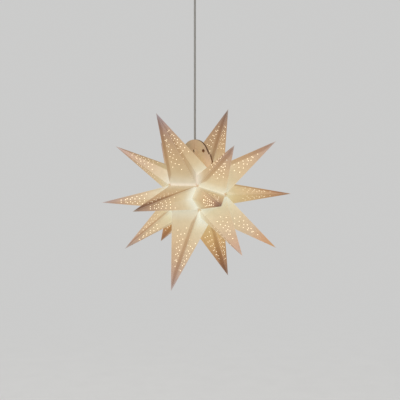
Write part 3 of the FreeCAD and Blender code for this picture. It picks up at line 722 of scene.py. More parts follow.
def place_on_facets(points, triangles, tip, gauges):
    """Finds the facet of each triangle, and whether it lies on the facet's outer face.

    The middle of the triangle has to lie in the facet's sheet and between its two folds. On the
    outer face all three corners have no depth; hole walls, the inner face and the flap have some.
    """
    inwards, (from_first, from_second) = gauges[0], gauges[2:]
    arm = points[triangles] - tip
    depth = np.einsum("tcx,fx->tfc", arm, inwards)
    middle = arm.mean(1)
    beyond = np.maximum(np.maximum(-(middle @ from_first.T), -(middle @ from_second.T)), 0)
    on_face = np.abs(depth).max(2) + beyond
    in_sheet = np.abs(depth.mean(2) - np.clip(depth.mean(2), 0, SHEET)) + beyond
    outside = on_face.min(1) < ON_FACE
    return np.where(outside, np.argmin(on_face, axis=1), np.argmin(in_sheet, axis=1)), outside


facet, outside = place_on_facets(points, triangles, tip, gauges)
print("triangles on the outer face of each facet:", np.bincount(facet[outside]))

# %% [markdown]
# A spike is one sheet, pricked with rows of pin-holes and closed by a glue flap inside. It could
# be a new sheet with a picture of dots, but the light has to come through real holes. The
# measured solid has the folds, the holes and the flap, so a copy of it is used, with its corners
# merged. Its outer face glows, and the inside, which only the holes show, is brighter, because it
# looks straight at the bulb.

# %% Spikes
NOWHERE_NEAR = 1.0  # stands for the distance from a fold that a facet doesn't have
TIP_TINTS = {  # what a spike's tip does to the light, and the share at which it has faded out
    "wide_spike_1": ((0.88, 0.94, 1.22), 0.45),
    "wide_spike_2": ((0.74, 0.66, 0.55), 0.50),
    "wide_spike_4": ((0.70, 0.62, 0.66), 0.55),
    "wide_spike_6": ((0.86, 0.95, 1.00), 0.42),
    "ring_spike_front_2": ((0.50, 0.30, 0.14), 0.36),
    "ring_spike_front_3": ((1.20, 1.00, 0.78), 0.42),
    "ring_spike_front_4": ((1.25, 0.85, 0.35), 0.42),
    "ring_spike_front_5": ((0.98, 0.78, 0.56), 0.55),
    "ring_spike_back_1": ((1.22, 1.18, 1.12), 0.45),
}


def folded_spike(name, tip, feet, flap):
    """Copies a spike's solid and stores each spot's place on its facet.

    Glue is measured from the fold that the flap hangs from, on the flap's own facet and on its
    partner beyond the fold. Inward creases don't wear, so no distance from them is stored.
    """
    points, triangles = mesh_of(name)
    gauges = facet_gauges(tip, feet)
    facet, outside = place_on_facets(points, triangles, tip, gauges)
    piece = new_piece("paper_" + name, points, triangles, name)
    arm = points[triangles] - tip
    share, from_first, from_second = (
        np.einsum("tcx,tx->tc", arm, gauge[facet]) for gauge in gauges[1:]
    )
    count = len(feet)
    glued, by_first = flap
    partner = (glued + (-1 if by_first else 1)) % count
    here, there = (from_first, from_second) if by_first else (from_second, from_first)
    own = np.where(facet[:, None] == glued, here, NOWHERE_NEAR)
    other = np.where(facet[:, None] == partner, there, NOWHERE_NEAR)
    creased = np.arange(count) % 3 == 2
    rim = np.where(creased[facet][:, None], NOWHERE_NEAR, from_first)
    other_rim = np.where(creased[(facet + 1) % count][:, None], NOWHERE_NEAR, from_second)
    passed, leak, edge = (light[facet][:, None] for light in facet_light(name, count))
    tint, reach = TIP_TINTS.get(name, ((1.0, 1.0, 1.0), 1.0))
    heavy = HEAVY_GLUE.get(name, 0.0)
    for label, measures in (
        ("fold", (share, rim, other_rim)),
        ("glue", (own, other, heavy)),
        ("leaks", (leak, edge, np.full_like(share, reach))),
    ):
        store(piece, label, np.stack(np.broadcast_arrays(*measures), axis=-1))
    store(piece, "passed", np.broadcast_to(passed, arm.shape))
    store(piece, "tint", np.broadcast_to(tint, arm.shape))
    inside = facing_insides.get(name, lit_paper_inside)
    finish_by_face(piece, (lit_paper, inside), ~outside)
    return len(triangles), outside.mean()


made = [folded_spike(name, *corners) for name, corners in spikes.items()]
print("paper triangles:", sum(count for count, share in made))
print("share of outside faces:", round(float(np.mean([share for count, share in made])), 3))

# %% [markdown]
# Round parts such as the bulb, the lampholder and the ceiling cup were turned or moulded on an
# axis. Each is a profile of radius and height carried round that axis, which fills a grid of
# corners: one row for each angle, one column for each point of the profile. Real corners are
# never sharp, so every corner of a profile is first replaced by a short curve.

# %% Helpers for turned pieces
def quads_of(cell, wrap_rows=True, wrap_columns=False):
    """Joins a grid of corner numbers into quads, each corner with the next row and the next column.

    An axis that wraps also joins its last line to its first.
    """
    rows, columns = (None if wraps else -1 for wraps in (wrap_rows, wrap_columns))
    below = np.roll(cell, -1, axis=0)
    quads = [cell, below, np.roll(below, -1, axis=1), np.roll(cell, -1, axis=1)]
    return np.stack(quads, axis=-1)[:rows, :columns].reshape(-1, 4)


def halved(quads):
    """Cuts each quad into two triangles."""
    return np.concatenate([quads[:, [0, 1, 2]], quads[:, [0, 2, 3]]])


def eased(profile, radius, steps=4, closed=False):
    """Rounds a profile's corners: each becomes a quadratic curve from one side of it to the other.

    The curve is (1-t)^2 before + 2t(1-t) corner + t^2 after, where before and after lie on the two
    sides, the radius away from the corner or 45 % of the side, whichever is nearer.
    """
    profile = np.asarray(profile, float)
    before = np.roll(profile, 1, axis=0) - profile
    after = np.roll(profile, -1, axis=0) - profile
    reach_before = np.minimum(radius / np.linalg.norm(before, axis=1), 0.45)[:, None]
    reach_after = np.minimum(radius / np.linalg.norm(after, axis=1), 0.45)[:, None]
    t = np.linspace(0, 1, steps + 1)[None, :, None]
    start = (profile + before * reach_before)[:, None]
    end = (profile + after * reach_after)[:, None]
    curves = (1 - t) ** 2 * start + 2 * t * (1 - t) * profile[:, None] + t**2 * end
    if closed:
        return curves.reshape(-1, 2)
    return np.concatenate([profile[:1], curves[1:-1].reshape(-1, 2), profile[-1:]])


def turned(name, profile, node, material, place=None, steps=96, closed=False, ripple=None):
    """Carries a profile round the Z axis: x = r cos a, y = r sin a, z = h.

    A ripple takes the angle, the radius and the height of every spot and returns its new radius.
    A closed profile is a ring's section; an open one starts and ends on the axis.
    """
    profile = np.asarray(profile, float)
    angle = np.linspace(0, 2 * math.pi, steps, endpoint=False)[:, None]
    radius = np.broadcast_to(profile[:, 0], (steps, len(profile)))
    height = np.broadcast_to(profile[:, 1], (steps, len(profile)))
    if ripple is not None:
        radius = ripple(angle, radius, height)
    grid = np.stack([radius * np.cos(angle), radius * np.sin(angle), height], axis=-1)
    cell = np.arange(steps * len(profile)).reshape(steps, len(profile))
    triangles = halved(quads_of(cell, wrap_columns=closed))
    points, triangles = welded(grid.reshape(-1, 3), triangles)
    if place is not None:
        points = place(points)
    piece = new_piece(name, points, triangles, node, smooth=True)
    piece.data.materials.append(material)
    return piece


square = eased([(0, 0), (1, 0), (1, 1), (0, 1)], 0.1, closed=True)
print("an eased square has", len(square), "points instead of 4")

# %% [markdown]
# Moulded plastic is never quite even: it is cloudy in the mould's flow, its gloss varies, and its
# skin is faintly dimpled. Metal is drawn or rolled, so it has fine scratches one way and
# tarnishes in clouds. The bulb's glass is opal, so the whole globe is one soft bright ball and no
# filament shows.

# %% Finishes of the lamp and the fittings
def plastic_finish(name, shade, deep, roughness):
    """Moulded plastic: a faint cloudiness, a fine orange-peel bump and slightly uneven gloss."""
    material, tree, shader = new_finish(name)
    gloss = between(tree, speckle(tree, 160, 3), 0, 1, roughness - 0.06, roughness + 0.08)
    colour = tones(tree, speckle(tree, 40, 2), (0.3, deep), (0.7, shade))
    settle(tree, shader, Base_Color=colour, Roughness=gloss)
    roughen(tree, shader, speckle(tree, 1400, 2), 0.12, 0.0001)
    return material


def metal_finish(name, shade, tarnish, roughness):
    """Metal with darker tarnish in clouds and fine drawn scratches."""
    material, tree, shader = new_finish(name)
    colour = tones(tree, speckle(tree, 420, 4), (0.38, tarnish), (0.62, shade))
    scratch = speckle(tree, 900, 2, (1, 1, 12))
    gloss = between(tree, scratch, 0, 1, roughness - 0.08, roughness + 0.15)
    settle(tree, shader, Base_Color=colour, Roughness=gloss, Metallic=0.9)
    roughen(tree, shader, scratch, 0.15, 0.0001)
    return material


def opal_glass_finish():
    """Glass of a lit opal globe: bright all over, a little deeper in colour towards the neck."""
    material, tree, shader = new_finish("opal_glass")
    place = add(tree, "Attribute", {"attribute_name": "star_place"}).outputs["Vector"]
    height = add(tree, "SeparateXYZ", Vector=place).outputs["Z"]
    cloud = speckle(tree, 30, 2)
    glass = tones(tree, cloud, (0.3, (0.86, 0.80, 0.70)), (0.7, (0.92, 0.88, 0.80)))
    to_neck = fade(tree, height, -0.030, 0.012)
    lit = tones(tree, to_neck, (0.0, (1.0, 0.86, 0.62)), (1.0, (0.95, 0.66, 0.36)))
    settle(tree, shader, Base_Color=glass, Emission_Color=lit)
    settle(tree, shader, Emission_Strength=4.0, Roughness=0.18)
    return material


def shades(kind, name, light, dark, roughness):
    """A finish between two colours, given as they look on a screen."""
    return kind(name, srgb(*light), srgb(*dark), roughness)


white_plastic = shades(plastic_finish, "white_plastic", (232, 231, 227), (224, 222, 216), 0.38)
holder_plastic = shades(plastic_finish, "holder_plastic", (234, 230, 220), (222, 216, 203), 0.34)
terminal_plastic = shades(plastic_finish, "terminal_plastic", (236, 234, 226), (226, 223, 212), 0.5)
glazed_ceramic = shades(plastic_finish, "glazed_ceramic", (232, 228, 216), (218, 213, 198), 0.3)
black_insulator = shades(plastic_finish, "black_insulator", (44, 40, 38), (30, 28, 28), 0.25)
contact_brass = shades(metal_finish, "contact_brass", (205, 168, 96), (158, 120, 62), 0.28)
nickel_cap = shades(metal_finish, "nickel_cap", (196, 192, 184), (150, 145, 136), 0.3)
screw_steel = shades(metal_finish, "screw_steel", (190, 190, 192), (140, 140, 144), 0.35)
opal_glass = opal_glass_finish()
print("finishes so far:", len(bpy.data.materials))

# %% [markdown]
# The lamp hidden in the star is ordinary: a small-screw globe bulb in a plastic lampholder. The
# bulb is one profile from the bottom of the globe to the button of its cap. Its screw cap gets a
# real thread: the radius goes up and down with height minus angle, which is what a helix is. Each
# face's height then says whether it is glass, screw cap, black insulator or contact.

# %% Bulb
CAP_TOP = 0.0702
LEDGE = CAP_TOP - 0.032
BULB_TOP = LEDGE - 0.0035 - 0.0003
SCREW_TOP = BULB_TOP - 0.0032
SCREW_FOOT = SCREW_TOP - 0.019
GLOBE_CENTRE = SCREW_FOOT - 0.0292
GLOBE_RADIUS = 0.0225
SCREW_RADIUS = 0.0069
THREAD_PITCH = 0.00282
THREAD_DEPTH = 0.0005
THREAD_FADE = 0.001
SCREW_STEPS = 110

swing = np.linspace(-math.pi / 2, math.radians(50), 44)
round_globe = np.stack([np.cos(swing), np.sin(swing)], axis=1)
globe = [0, GLOBE_CENTRE] + GLOBE_RADIUS * round_globe
neck = [(0.0112, SCREW_FOOT - 0.0070), (0.0090, SCREW_FOOT - 0.0028), (0.0080, SCREW_FOOT - 0.0004)]
collar = [(0.0076, SCREW_FOOT), (SCREW_RADIUS, SCREW_FOOT)]
screw_heights = np.linspace(SCREW_FOOT + 0.0003, SCREW_TOP, SCREW_STEPS)
screw = np.stack([np.full(SCREW_STEPS, SCREW_RADIUS), screw_heights], axis=1)
end = [(0.0060, SCREW_TOP + 0.0010), (0.0036, SCREW_TOP + 0.0024), (0.0032, SCREW_TOP + 0.0024)]
button = [(0.0030, SCREW_TOP + 0.0029), (0.0018, BULB_TOP), (0.0, BULB_TOP)]


def threaded(foot, top):
    """Returns a ripple that cuts a thread between two heights.

    The radius dips by half the depth times one minus the cosine of a turn, where the turn is the
    height in pitches less the angle. The dip fades in and out near both ends.
    """

    def ripple(angle, radius, height):
        turn = 2 * math.pi * height / THREAD_PITCH - angle
        risen = np.clip((height - foot) / THREAD_FADE, 0, 1)
        within = risen * np.clip((top - height) / THREAD_FADE, 0, 1)
        return radius - THREAD_DEPTH / 2 * (1 - np.cos(turn)) * within

    return ripple


def store_star_place(piece):
    """Stores each point's place in the star's frame, for finishes that follow the star."""
    store(piece, "star_place", in_star(read(piece.data.vertices, "co")), domain="POINT")


bulb = turned(
    "bulb_lit",
    np.concatenate([globe, neck, collar, screw, end, button]),
    "bulb",
    opal_glass,
    place=hung,
    ripple=threaded(SCREW_FOOT + 0.001, SCREW_TOP),
)
store_star_place(bulb)
face_heights = in_star(read(bulb.data.polygons, "center"))[:, 2]
borders = [SCREW_FOOT - 0.0001, SCREW_TOP + 0.0002, SCREW_TOP + 0.0023]
part_of_bulb = np.digitize(face_heights, borders)
finish_by_face(bulb, (nickel_cap, black_insulator, contact_brass), part_of_bulb)
print("bulb triangles:", len(bulb.data.polygons), "by part:", np.bincount(part_of_bulb))

# %% [markdown]
# The lampholder is two mouldings: a cap with the clamp for the cord screws down over the neck of
# a ribbed body, and the body holds the contacts. Either could be a solid with a hole cut out of
# it. A closed section carried round the axis is simpler, because it gives the wall, its inside
# and its lips in one go.

# %% Lampholder
CAP_RADIUS = 0.015
CAP_HOLE = 0.0032  # round the cord
CAP_WALL = 0.0018
CAP_GROOVE = 0.0004
CAP_FOOT = CAP_TOP - 0.024
CAP_BORE = CAP_RADIUS - CAP_WALL
NECK_RADIUS = CAP_BORE - 0.0001
NECK_TOP = CAP_FOOT + 0.010
BODY_BORE = NECK_RADIUS - 0.0016
BODY_RADIUS = CAP_RADIUS - 0.0005
BODY_FOOT = CAP_FOOT - 0.032
LIP = 0.0015
RIBS = 36
RIB_DEPTH = 0.0005

cap_section = [
    (CAP_HOLE, CAP_TOP - CAP_WALL),
    (0.0081, CAP_TOP - CAP_WALL),
    (CAP_BORE, CAP_TOP - 0.0079),
    (CAP_BORE, CAP_FOOT),
    (CAP_RADIUS, CAP_FOOT),
    (CAP_RADIUS, CAP_TOP - 0.0150),
    (CAP_RADIUS - CAP_GROOVE, CAP_TOP - 0.0146),
    (CAP_RADIUS - CAP_GROOVE, CAP_TOP - 0.0140),
    (CAP_RADIUS, CAP_TOP - 0.0136),
    (CAP_RADIUS, CAP_TOP - 0.0070),
    (0.0090, CAP_TOP),
    (CAP_HOLE, CAP_TOP),
]
body_section = [
    (BODY_BORE - LIP, BODY_FOOT),
    (BODY_RADIUS, BODY_FOOT),
    (BODY_RADIUS, BODY_FOOT + 0.003),
    (BODY_RADIUS, BODY_FOOT + 0.005),
    (BODY_RADIUS, CAP_FOOT - 0.005),
    (BODY_RADIUS, CAP_FOOT - 0.003),
    (BODY_RADIUS, CAP_FOOT),
    (NECK_RADIUS, CAP_FOOT),
    (NECK_RADIUS, NECK_TOP),
    (BODY_BORE, NECK_TOP),
    (BODY_BORE, LEDGE),
    (BODY_BORE - LIP, LEDGE),
]


def grip_ribs(angle, radius, height):
    """The outside wall dips by the rib depth between its ribs, and not at all near its two ends."""
    on_height = (height > BODY_FOOT + 0.004) & (height < CAP_FOOT - 0.004)
    on_wall = (radius > BODY_RADIUS - 0.0001) & on_height
    return radius - RIB_DEPTH / 2 * (1 - np.cos(RIBS * angle)) * on_wall


holder_cap = turned(
    "lampholder_cap_moulded",
    eased(cap_section, 0.0006, closed=True),
    "lampholder_cap",
    holder_plastic,
    place=hung,
    closed=True,
)
holder_body = turned(
    "lampholder_body_moulded",
    eased(body_section, 0.0005, closed=True),
    "lampholder_body",
    holder_plastic,
    place=hung,
    closed=True,
    ripple=grip_ribs,
    steps=8 * RIBS,
)
holder_size = np.array([2 * CAP_RADIUS, CAP_TOP - BODY_FOOT]) * 1000
print("lampholder, mm wide and tall:", np.round(holder_size, 1))

# %% [markdown]
# The shell that the bulb screws into is thin brass, rolled into the same thread, so its inside
# and its outside rise and fall together. It takes the bulb's own formula for the thread. That
# keeps the two a fifth of a millimetre apart all the way round, which a thread of its own would
# not.

# %% Threaded shell
SHELL_FOOT = LEDGE - 0.021
SHELL_BORE = SCREW_RADIUS + 0.0002
SHELL_RADIUS = SHELL_BORE + 0.0008
SHELL_STEPS = 90

shell_heights = np.linspace(SHELL_FOOT, LEDGE, SHELL_STEPS)
shell_outside = np.stack([np.full(SHELL_STEPS, SHELL_RADIUS), shell_heights], axis=1)
shell_inside = np.stack([np.full(SHELL_STEPS, SHELL_BORE), shell_heights[::-1]], axis=1)
shell = turned(
    "threaded_shell_rolled",
    np.concatenate([shell_outside, shell_inside]),
    "threaded_shell",
    contact_brass,
    place=hung,
    closed=True,
    ripple=threaded(SHELL_FOOT, SCREW_TOP),
    steps=72,
)
print("turns of thread:", round((SCREW_TOP - SHELL_FOOT) / THREAD_PITCH, 1))

# %% [markdown]
# The ceiling cup is a moulded bell that hides the terminals, and a ribbed grip below it holds the
# cord. Both are turned shapes. A fine groove near the cup's lip is where it snaps over its base.

# %% Ceiling cup and cord grip
CUP_RADIUS = 0.040
CUP_WALL = 0.002
CUP_DEPTH = 0.042
CUP_ROUND = 0.016
GRIP_RADIUS = 0.009
GRIP_FOOT = -CUP_DEPTH - 0.020
GRIP_NECK = 0.006
FINGERS = 16
FINGER_DEPTH = 0.0006


def corner_arc(radius, start, finish, steps=14):
    """An arc about the centre of the cup's rounded edge, between two angles in degrees."""
    swing = np.radians(np.linspace(start, finish, steps))[:, None]
    centre = np.array([CUP_RADIUS - CUP_ROUND, CUP_ROUND - CUP_DEPTH])
    return centre + radius * np.concatenate([np.cos(swing), np.sin(swing)], axis=1)


cup_section = np.concatenate(
    [
        [(GRIP_NECK + 0.0001, -CUP_DEPTH)],
        corner_arc(CUP_ROUND, -90, 0),
        [(CUP_RADIUS, -0.0052), (CUP_RADIUS - 0.0003, -0.0048), (CUP_RADIUS - 0.0003, -0.0042)],
        [(CUP_RADIUS, -0.0038), (CUP_RADIUS, -0.0005), (CUP_RADIUS - 0.0004, 0)],
        [(CUP_RADIUS - CUP_WALL + 0.0003, 0), (CUP_RADIUS - CUP_WALL, -0.0004)],
        corner_arc(CUP_ROUND - CUP_WALL, 0, -90),
        [(GRIP_NECK + 0.0001, CUP_WALL - CUP_DEPTH)],
    ]
)
grip_section = [
    (CORD_DIAMETER / 2, GRIP_FOOT),
    (0.0055, GRIP_FOOT),
    (GRIP_RADIUS, GRIP_FOOT + 0.009),
    (GRIP_RADIUS, GRIP_FOOT + 0.0095),
    (GRIP_RADIUS, -CUP_DEPTH - 0.0012),
    (GRIP_RADIUS, -CUP_DEPTH),
    (GRIP_NECK, -CUP_DEPTH),
    (GRIP_NECK, CUP_WALL + 0.004 - CUP_DEPTH),
    (CORD_DIAMETER / 2, CUP_WALL + 0.004 - CUP_DEPTH),
]


def finger_ribs(angle, radius, height):
    """The grip's straight part dips by the finger depth between its ribs."""
    on_wall = (radius > GRIP_RADIUS - 0.0001) & (height < -CUP_DEPTH - 0.0008)
    return radius - FINGER_DEPTH / 2 * (1 - np.cos(FINGERS * angle)) * on_wall


cup = turned(
    "ceiling_cup_moulded",
    cup_section,
    "ceiling_cup",
    white_plastic,
    closed=True,
    steps=144,
)
grip = turned(
    "cord_grip_ribbed",
    eased(grip_section, 0.0006, closed=True),
    "cord_grip",
    white_plastic,
    closed=True,
    ripple=finger_ribs,
    steps=12 * FINGERS,
)
print("ceiling cup, mm:", round(CUP_RADIUS * 2000), "wide,", round(CUP_DEPTH * 1000), "tall")

# %% [markdown]
# Inside the cup the wires meet in a terminal block: a moulded strip of three poles, with two sunk
# screws in each and a groove between them. It could be a box with cylinders cut out of it, but
# such cuts leave untidy edges. Its lower face is a sheet of heights instead, one formula over a
# fine grid, closed by plain walls.

# %% Terminal block
BLOCK_LENGTH, BLOCK_WIDTH = 0.026, 0.014
BLOCK_FOOT, BLOCK_TOP = CORD_END, -0.004
BLOCK_ROUND = 0.0005
BLOCK_GRID = (105, 57)
POLE_STEP = 0.0085
SCREW_ASIDE = 0.0037
WELL_RADIUS, WELL_DEPTH, WELL_WALL = 0.0019, 0.0016, 0.0004
SLOT_HALF, SLOT_DEPTH, SLOT_WALL = 0.0005, 0.0005, 0.0003
GROOVE_HALF, GROOVE_DEPTH, GROOVE_WALL = 0.0007, 0.0012, 0.0004


def eased_step(value):
    """0 below 0, 1 above 1 and 3 v^2 - 2 v^3 between them."""
    value = np.clip(value, 0, 1)
    return value**2 * (3 - 2 * value)


def block_heights(x, y):
    """How far the block's upper face and its lower face draw back, and the distance from a screw.

    Within the rounding r of the rim a face draws back by r - sqrt(r^2 - (r - e)^2), where e is the
    distance from the rim. The lower face draws back further in each well, its slot and the grooves.
    """
    rim = np.minimum(BLOCK_LENGTH / 2 - np.abs(x), BLOCK_WIDTH / 2 - np.abs(y))
    past_rim = np.maximum(BLOCK_ROUND - rim, 0)
    rounding = BLOCK_ROUND - np.sqrt(BLOCK_ROUND**2 - past_rim**2)
    pole = x - POLE_STEP * np.clip(np.round(x / POLE_STEP), -1, 1)
    from_screw = np.hypot(pole, np.abs(y) - SCREW_ASIDE)
    well = WELL_DEPTH * eased_step((WELL_RADIUS - from_screw) / WELL_WALL)
    slot = SLOT_DEPTH * eased_step((SLOT_HALF - np.abs(pole)) / SLOT_WALL)
    slot = slot * (from_screw < WELL_RADIUS - 0.0005)
    from_groove = np.abs(POLE_STEP / 2 - np.abs(x))
    groove = GROOVE_DEPTH * eased_step((GROOVE_HALF - from_groove) / GROOVE_WALL)
    return rounding, np.maximum(np.maximum(rounding, well + slot), groove), from_screw


def terminal_shape():
    """Two faces of heights joined by walls; also returns which triangles are screw heads."""
    along = np.linspace(-BLOCK_LENGTH / 2, BLOCK_LENGTH / 2, BLOCK_GRID[0])
    across = np.linspace(-BLOCK_WIDTH / 2, BLOCK_WIDTH / 2, BLOCK_GRID[1])
    x, y = np.meshgrid(along, across, indexing="ij")
    upper, lower, from_screw = block_heights(x, y)
    heights = (BLOCK_FOOT + lower, BLOCK_TOP - upper)
    faces = [np.stack([x, y, z], axis=-1).reshape(-1, 3) for z in heights]
    cell = np.arange(x.size).reshape(x.shape)
    quads = quads_of(cell, wrap_rows=False)
    ring = np.concatenate([cell[:, 0], cell[-1, 1:], cell[-2::-1, -1], cell[0, -2:0:-1]])
    walls = np.stack([ring, np.roll(ring, -1), np.roll(ring, -1) + x.size, ring + x.size], axis=1)
    quads = np.concatenate([quads, quads[:, ::-1] + x.size, walls])
    sunk = np.append((from_screw < WELL_RADIUS - 0.0003).ravel(), np.zeros(x.size, bool))
    return np.concatenate(faces), halved(quads), np.tile(sunk[quads].all(1), 2)


points, triangles, heads = terminal_shape()
block = new_piece("terminal_block_moulded", points, triangles, "terminal_block")
finish_by_face(block, (terminal_plastic, screw_steel), heads)
print("terminal block triangles:", len(triangles), "of them screw heads:", int(heads.sum()))

# %% [markdown]
# Five small pieces sit inside the others: the base plate and the nut in the cup, and the
# lampholder's insert, contact and screw. Their measured solids already have the right shape, and
# hardly anything of them shows, so they stay as they are and only get a finish.

# %% Pieces that keep their measured shape
plain_finishes = {
    "ceiling_base": white_plastic,
    "grip_nut": white_plastic,
    "contact_insert": glazed_ceramic,
    "centre_contact": contact_brass,
    "clamp_screw": screw_steel,
}
for name, material in plain_finishes.items():
    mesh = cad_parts[name].data
    mesh.materials.clear()
    mesh.materials.append(material)
print(len(plain_finishes), "measured pieces keep their shape")

# %% [markdown]
# A cord's sheath is soft plastic, drawn through a die: satin, nearly even in colour, with the
# twist of its cores just showing. The twist is a sine of twice the angle round the cord plus a
# term that grows with the height.

# %% Cord sheath
CORE_TURNS = 210.0  # how fast the sine's angle grows along the cord, in radians a metre


def sheath_finish():
    """Pale satin sheath with the cores' slow twist under it, lit where it is in the star."""
    material, tree, shader = new_finish("cord_sheath")
    place = add(tree, "TexCoord").outputs["Object"]
    x, y, z = add(tree, "SeparateXYZ", Vector=place).outputs
    around = times(tree, reckon(tree, "ARCTAN2", y, x), 2.0)
    twist = reckon(tree, "SINE", reckon(tree, "ADD", around, times(tree, z, CORE_TURNS)))
    lift = times(tree, reckon(tree, "ADD", twist, 1.0), 0.5)
    sheath = tones(tree, lift, (0.0, srgb(139, 137, 132)), (1.0, srgb(147, 144, 139)))
    # Below the top of the tabs the sheath is painted cream with a glow: painted light from the
    # star.
    below = fade(tree, z, -DROP + 0.002, -DROP - 0.016)
    colour = lay(tree, "MIX", below, sheath, (*srgb(222, 196, 160), 1))
    lit = lay(tree, "MIX", below, (0, 0, 0, 1), (0.13, 0.10, 0.065, 1))
    settle(tree, shader, Base_Color=colour, Emission_Color=lit)
    settle(tree, shader, Emission_Strength=1.0, Roughness=0.42)
    roughen(tree, shader, lift, 0.15, 0.0002)
    return material


cord_curve.materials.append(sheath_finish())

# %% [markdown]
# Two domed tabs of card stand on the star's opening seam, one each side of the cord, and two
# brass fasteners pin them together. The light that they catch from below is painted on: their
# feet are painted brighter and their edges duller.

# %% Tabs
CARD = 0.0006
TAB_FACE = SEAM_HALF + CARD  # the outer face of either tab, from the middle of the seam


def card_finish():
    """Card of the tabs: cream, olive on the left, dull pink on the right, a line in the middle.

    The gap between the tabs gets painted shade, and painted light from the star glows at their
    feet.
    """
    material, tree, shader = new_finish("tab_card")
    place = add(tree, "Attribute", {"attribute_name": "star_place"}).outputs["Vector"]
    x, y, z = add(tree, "SeparateXYZ", Vector=place).outputs
    card = tones(
        tree,
        reckon(tree, "ADD", times(tree, x, 10.0), 0.5),
        (0.05, srgb(172, 156, 122)),
        (0.30, srgb(190, 167, 134)),
        (0.50, srgb(206, 177, 146)),
        (0.72, srgb(205, 181, 146)),
        (0.90, srgb(201, 174, 146)),
    )
    # Painted shade: the inner faces and the edges in the gap between the tabs are darkened, but not
    # the far tab's outer face.
    far_side = fade(tree, y, TAB_FACE - 0.0001, TAB_FACE - 0.0004)
    shaded = times(tree, fade(tree, y, 0.0, 0.0035), far_side)
    card = lay(tree, "MULTIPLY", shaded, card, (0.42, 0.33, 0.27, 1))
    at_middle = fade(tree, reckon(tree, "ABSOLUTE", x), 0.0011, 0.0003)
    line = times(tree, times(tree, at_middle, fade(tree, z, 0.128, 0.131)), 0.5)
    card = lay(tree, "MULTIPLY", line, card, (0.72, 0.68, 0.62, 1))
    fibre = speckle(tree, 800, 4)
    card = lay(tree, "MULTIPLY", fade(tree, fibre, 0.42, 0.66), card, (0.93, 0.92, 0.90, 1))
    # Painted light from the star below, brightest at the tabs' feet.
    low = times(tree, fade(tree, z, 0.135, 0.072), 0.38)
    glow = lay(tree, "MULTIPLY", 1.0, card, (0.92, 0.87, 0.70, 1))
    glow = lay(tree, "MIX", low, (0, 0, 0, 1), glow)
    settle(tree, shader, Base_Color=card, Emission_Color=glow, Emission_Strength=1.0)
    settle(tree, shader, Roughness=0.85, Specular_IOR_Level=0.25)
    roughen(tree, shader, fibre, 0.3, 0.0002)
    return material


tab_card = card_finish()
for name in ("end_leaf_near", "end_leaf_far"):
    points, triangles = mesh_of(name)
    leaf = new_piece(name.replace("end_leaf", "tab"), points, triangles, name)
    store_star_place(leaf)
    leaf.data.materials.append(tab_card)
print("tab triangles:", len(triangles))

# %% [markdown]
# A paper fastener is a thin brass dome with two flat legs. The legs go through the holes of both
# tabs and are bent flat behind them, one up and one down. A leg could be two boxes that meet, but
# a section carried along a bent path stays as thick in the bend as along the straight.

# %% Legs of a fastener
LEG_WIDTH, LEG_THICKNESS = 0.003, 0.0005
LEG_REACH = 0.011
LEG_BEND = 0.0006  # radius of the bend, to the leg's middle
LEG_STEPS = 16
NIP = 0.0001  # how far a leg's point stands past its last full section


def bent_strip(path):
    """Carries a leg's section along a path in the Y-Z plane; its ends close to a point.

    The section is a superellipse, a rectangle with eased corners: each coordinate is the sign times
    the square root of the cosine or sine.
    """
    along = unit(np.gradient(path, axis=0))
    aside = np.stack([along[:, 1], -along[:, 0]], axis=1)
    swing = np.linspace(0, 2 * math.pi, LEG_STEPS, endpoint=False)
    x = LEG_WIDTH / 2 * np.sign(np.cos(swing)) * np.abs(np.cos(swing)) ** 0.5
    t = LEG_THICKNESS / 2 * np.sign(np.sin(swing)) * np.abs(np.sin(swing)) ** 0.5
    size = np.ones((len(path), 1))
    size[[0, -1]] = 0
    yz = path[:, None] + aside[:, None] * (t * size)[..., None]
    grid = np.concatenate([(x * size)[..., None], yz], axis=-1)
    cell = np.arange(len(path) * LEG_STEPS).reshape(len(path), LEG_STEPS)
    return welded(grid.reshape(-1, 3), halved(quads_of(cell.T)))


def leg_path(way):
    """Straight through both tabs, a quarter turn, then along the far tab, up (+1) or down (-1)."""
    half = LEG_THICKNESS / 2
    back = TAB_FACE + half
    bend = np.linspace(0, math.pi / 2, 7)[:, None]
    through = back - LEG_BEND + LEG_BEND * np.sin(bend)
    turn = np.concatenate([through, way * (half + LEG_BEND - LEG_BEND * np.cos(bend))], axis=1)
    start = [(-TAB_FACE - NIP, way * half), (-TAB_FACE, way * half)]
    finish = [(back, way * reach) for reach in (LEG_REACH - NIP, LEG_REACH, LEG_REACH + NIP)]
    return np.concatenate([start, turn, finish]) - [0, way * NIP]


print("one leg:", len(bent_strip(leg_path(1))[1]), "triangles")

# %% [markdown]
# The head is a shallow dome with a rolled rim, a profile turned about the pin's own axis. Head
# and legs are stamped from one sheet, so they are joined into one mesh, which takes the place of
# the measured solid.

# %% Fasteners
HOLE_HEIGHT = 0.126
PIN_SPACING = 0.0315
HEAD_RADIUS, HEAD_HEIGHT = 0.00475, 0.0014
HEAD_STEPS = 48
RIM_RADIUS, RIM_WIDTH, RIM_DIP = 0.0040, 0.00025, 0.00018

fastener_brass = shades(metal_finish, "fastener_brass", (150, 108, 74), (92, 58, 42), 0.42)


def domed_head():
    """A dome turned about the Y axis: its rise is the sine of the swing to the power 0.9.

    A bell-shaped dip near the edge leaves the rolled rim.
    """
    swing = np.linspace(0, math.pi / 2, 12)
    ring = HEAD_RADIUS * np.cos(swing)
    dip = RIM_DIP * np.exp(-(((ring - RIM_RADIUS) / RIM_WIDTH) ** 2))
    rise = np.append(0, np.maximum(HEAD_HEIGHT * np.sin(swing) ** 0.9 - dip, 0))
    ring = np.append(0, ring)
    angle = np.linspace(0, 2 * math.pi, HEAD_STEPS, endpoint=False)[:, None]
    parts = (ring * np.cos(angle), -TAB_FACE - rise, ring * np.sin(angle))
    grid = np.stack(np.broadcast_arrays(*parts), axis=-1)
    cell = np.arange(HEAD_STEPS * len(ring)).reshape(HEAD_STEPS, len(ring))
    return welded(grid.reshape(-1, 3), halved(quads_of(cell)))


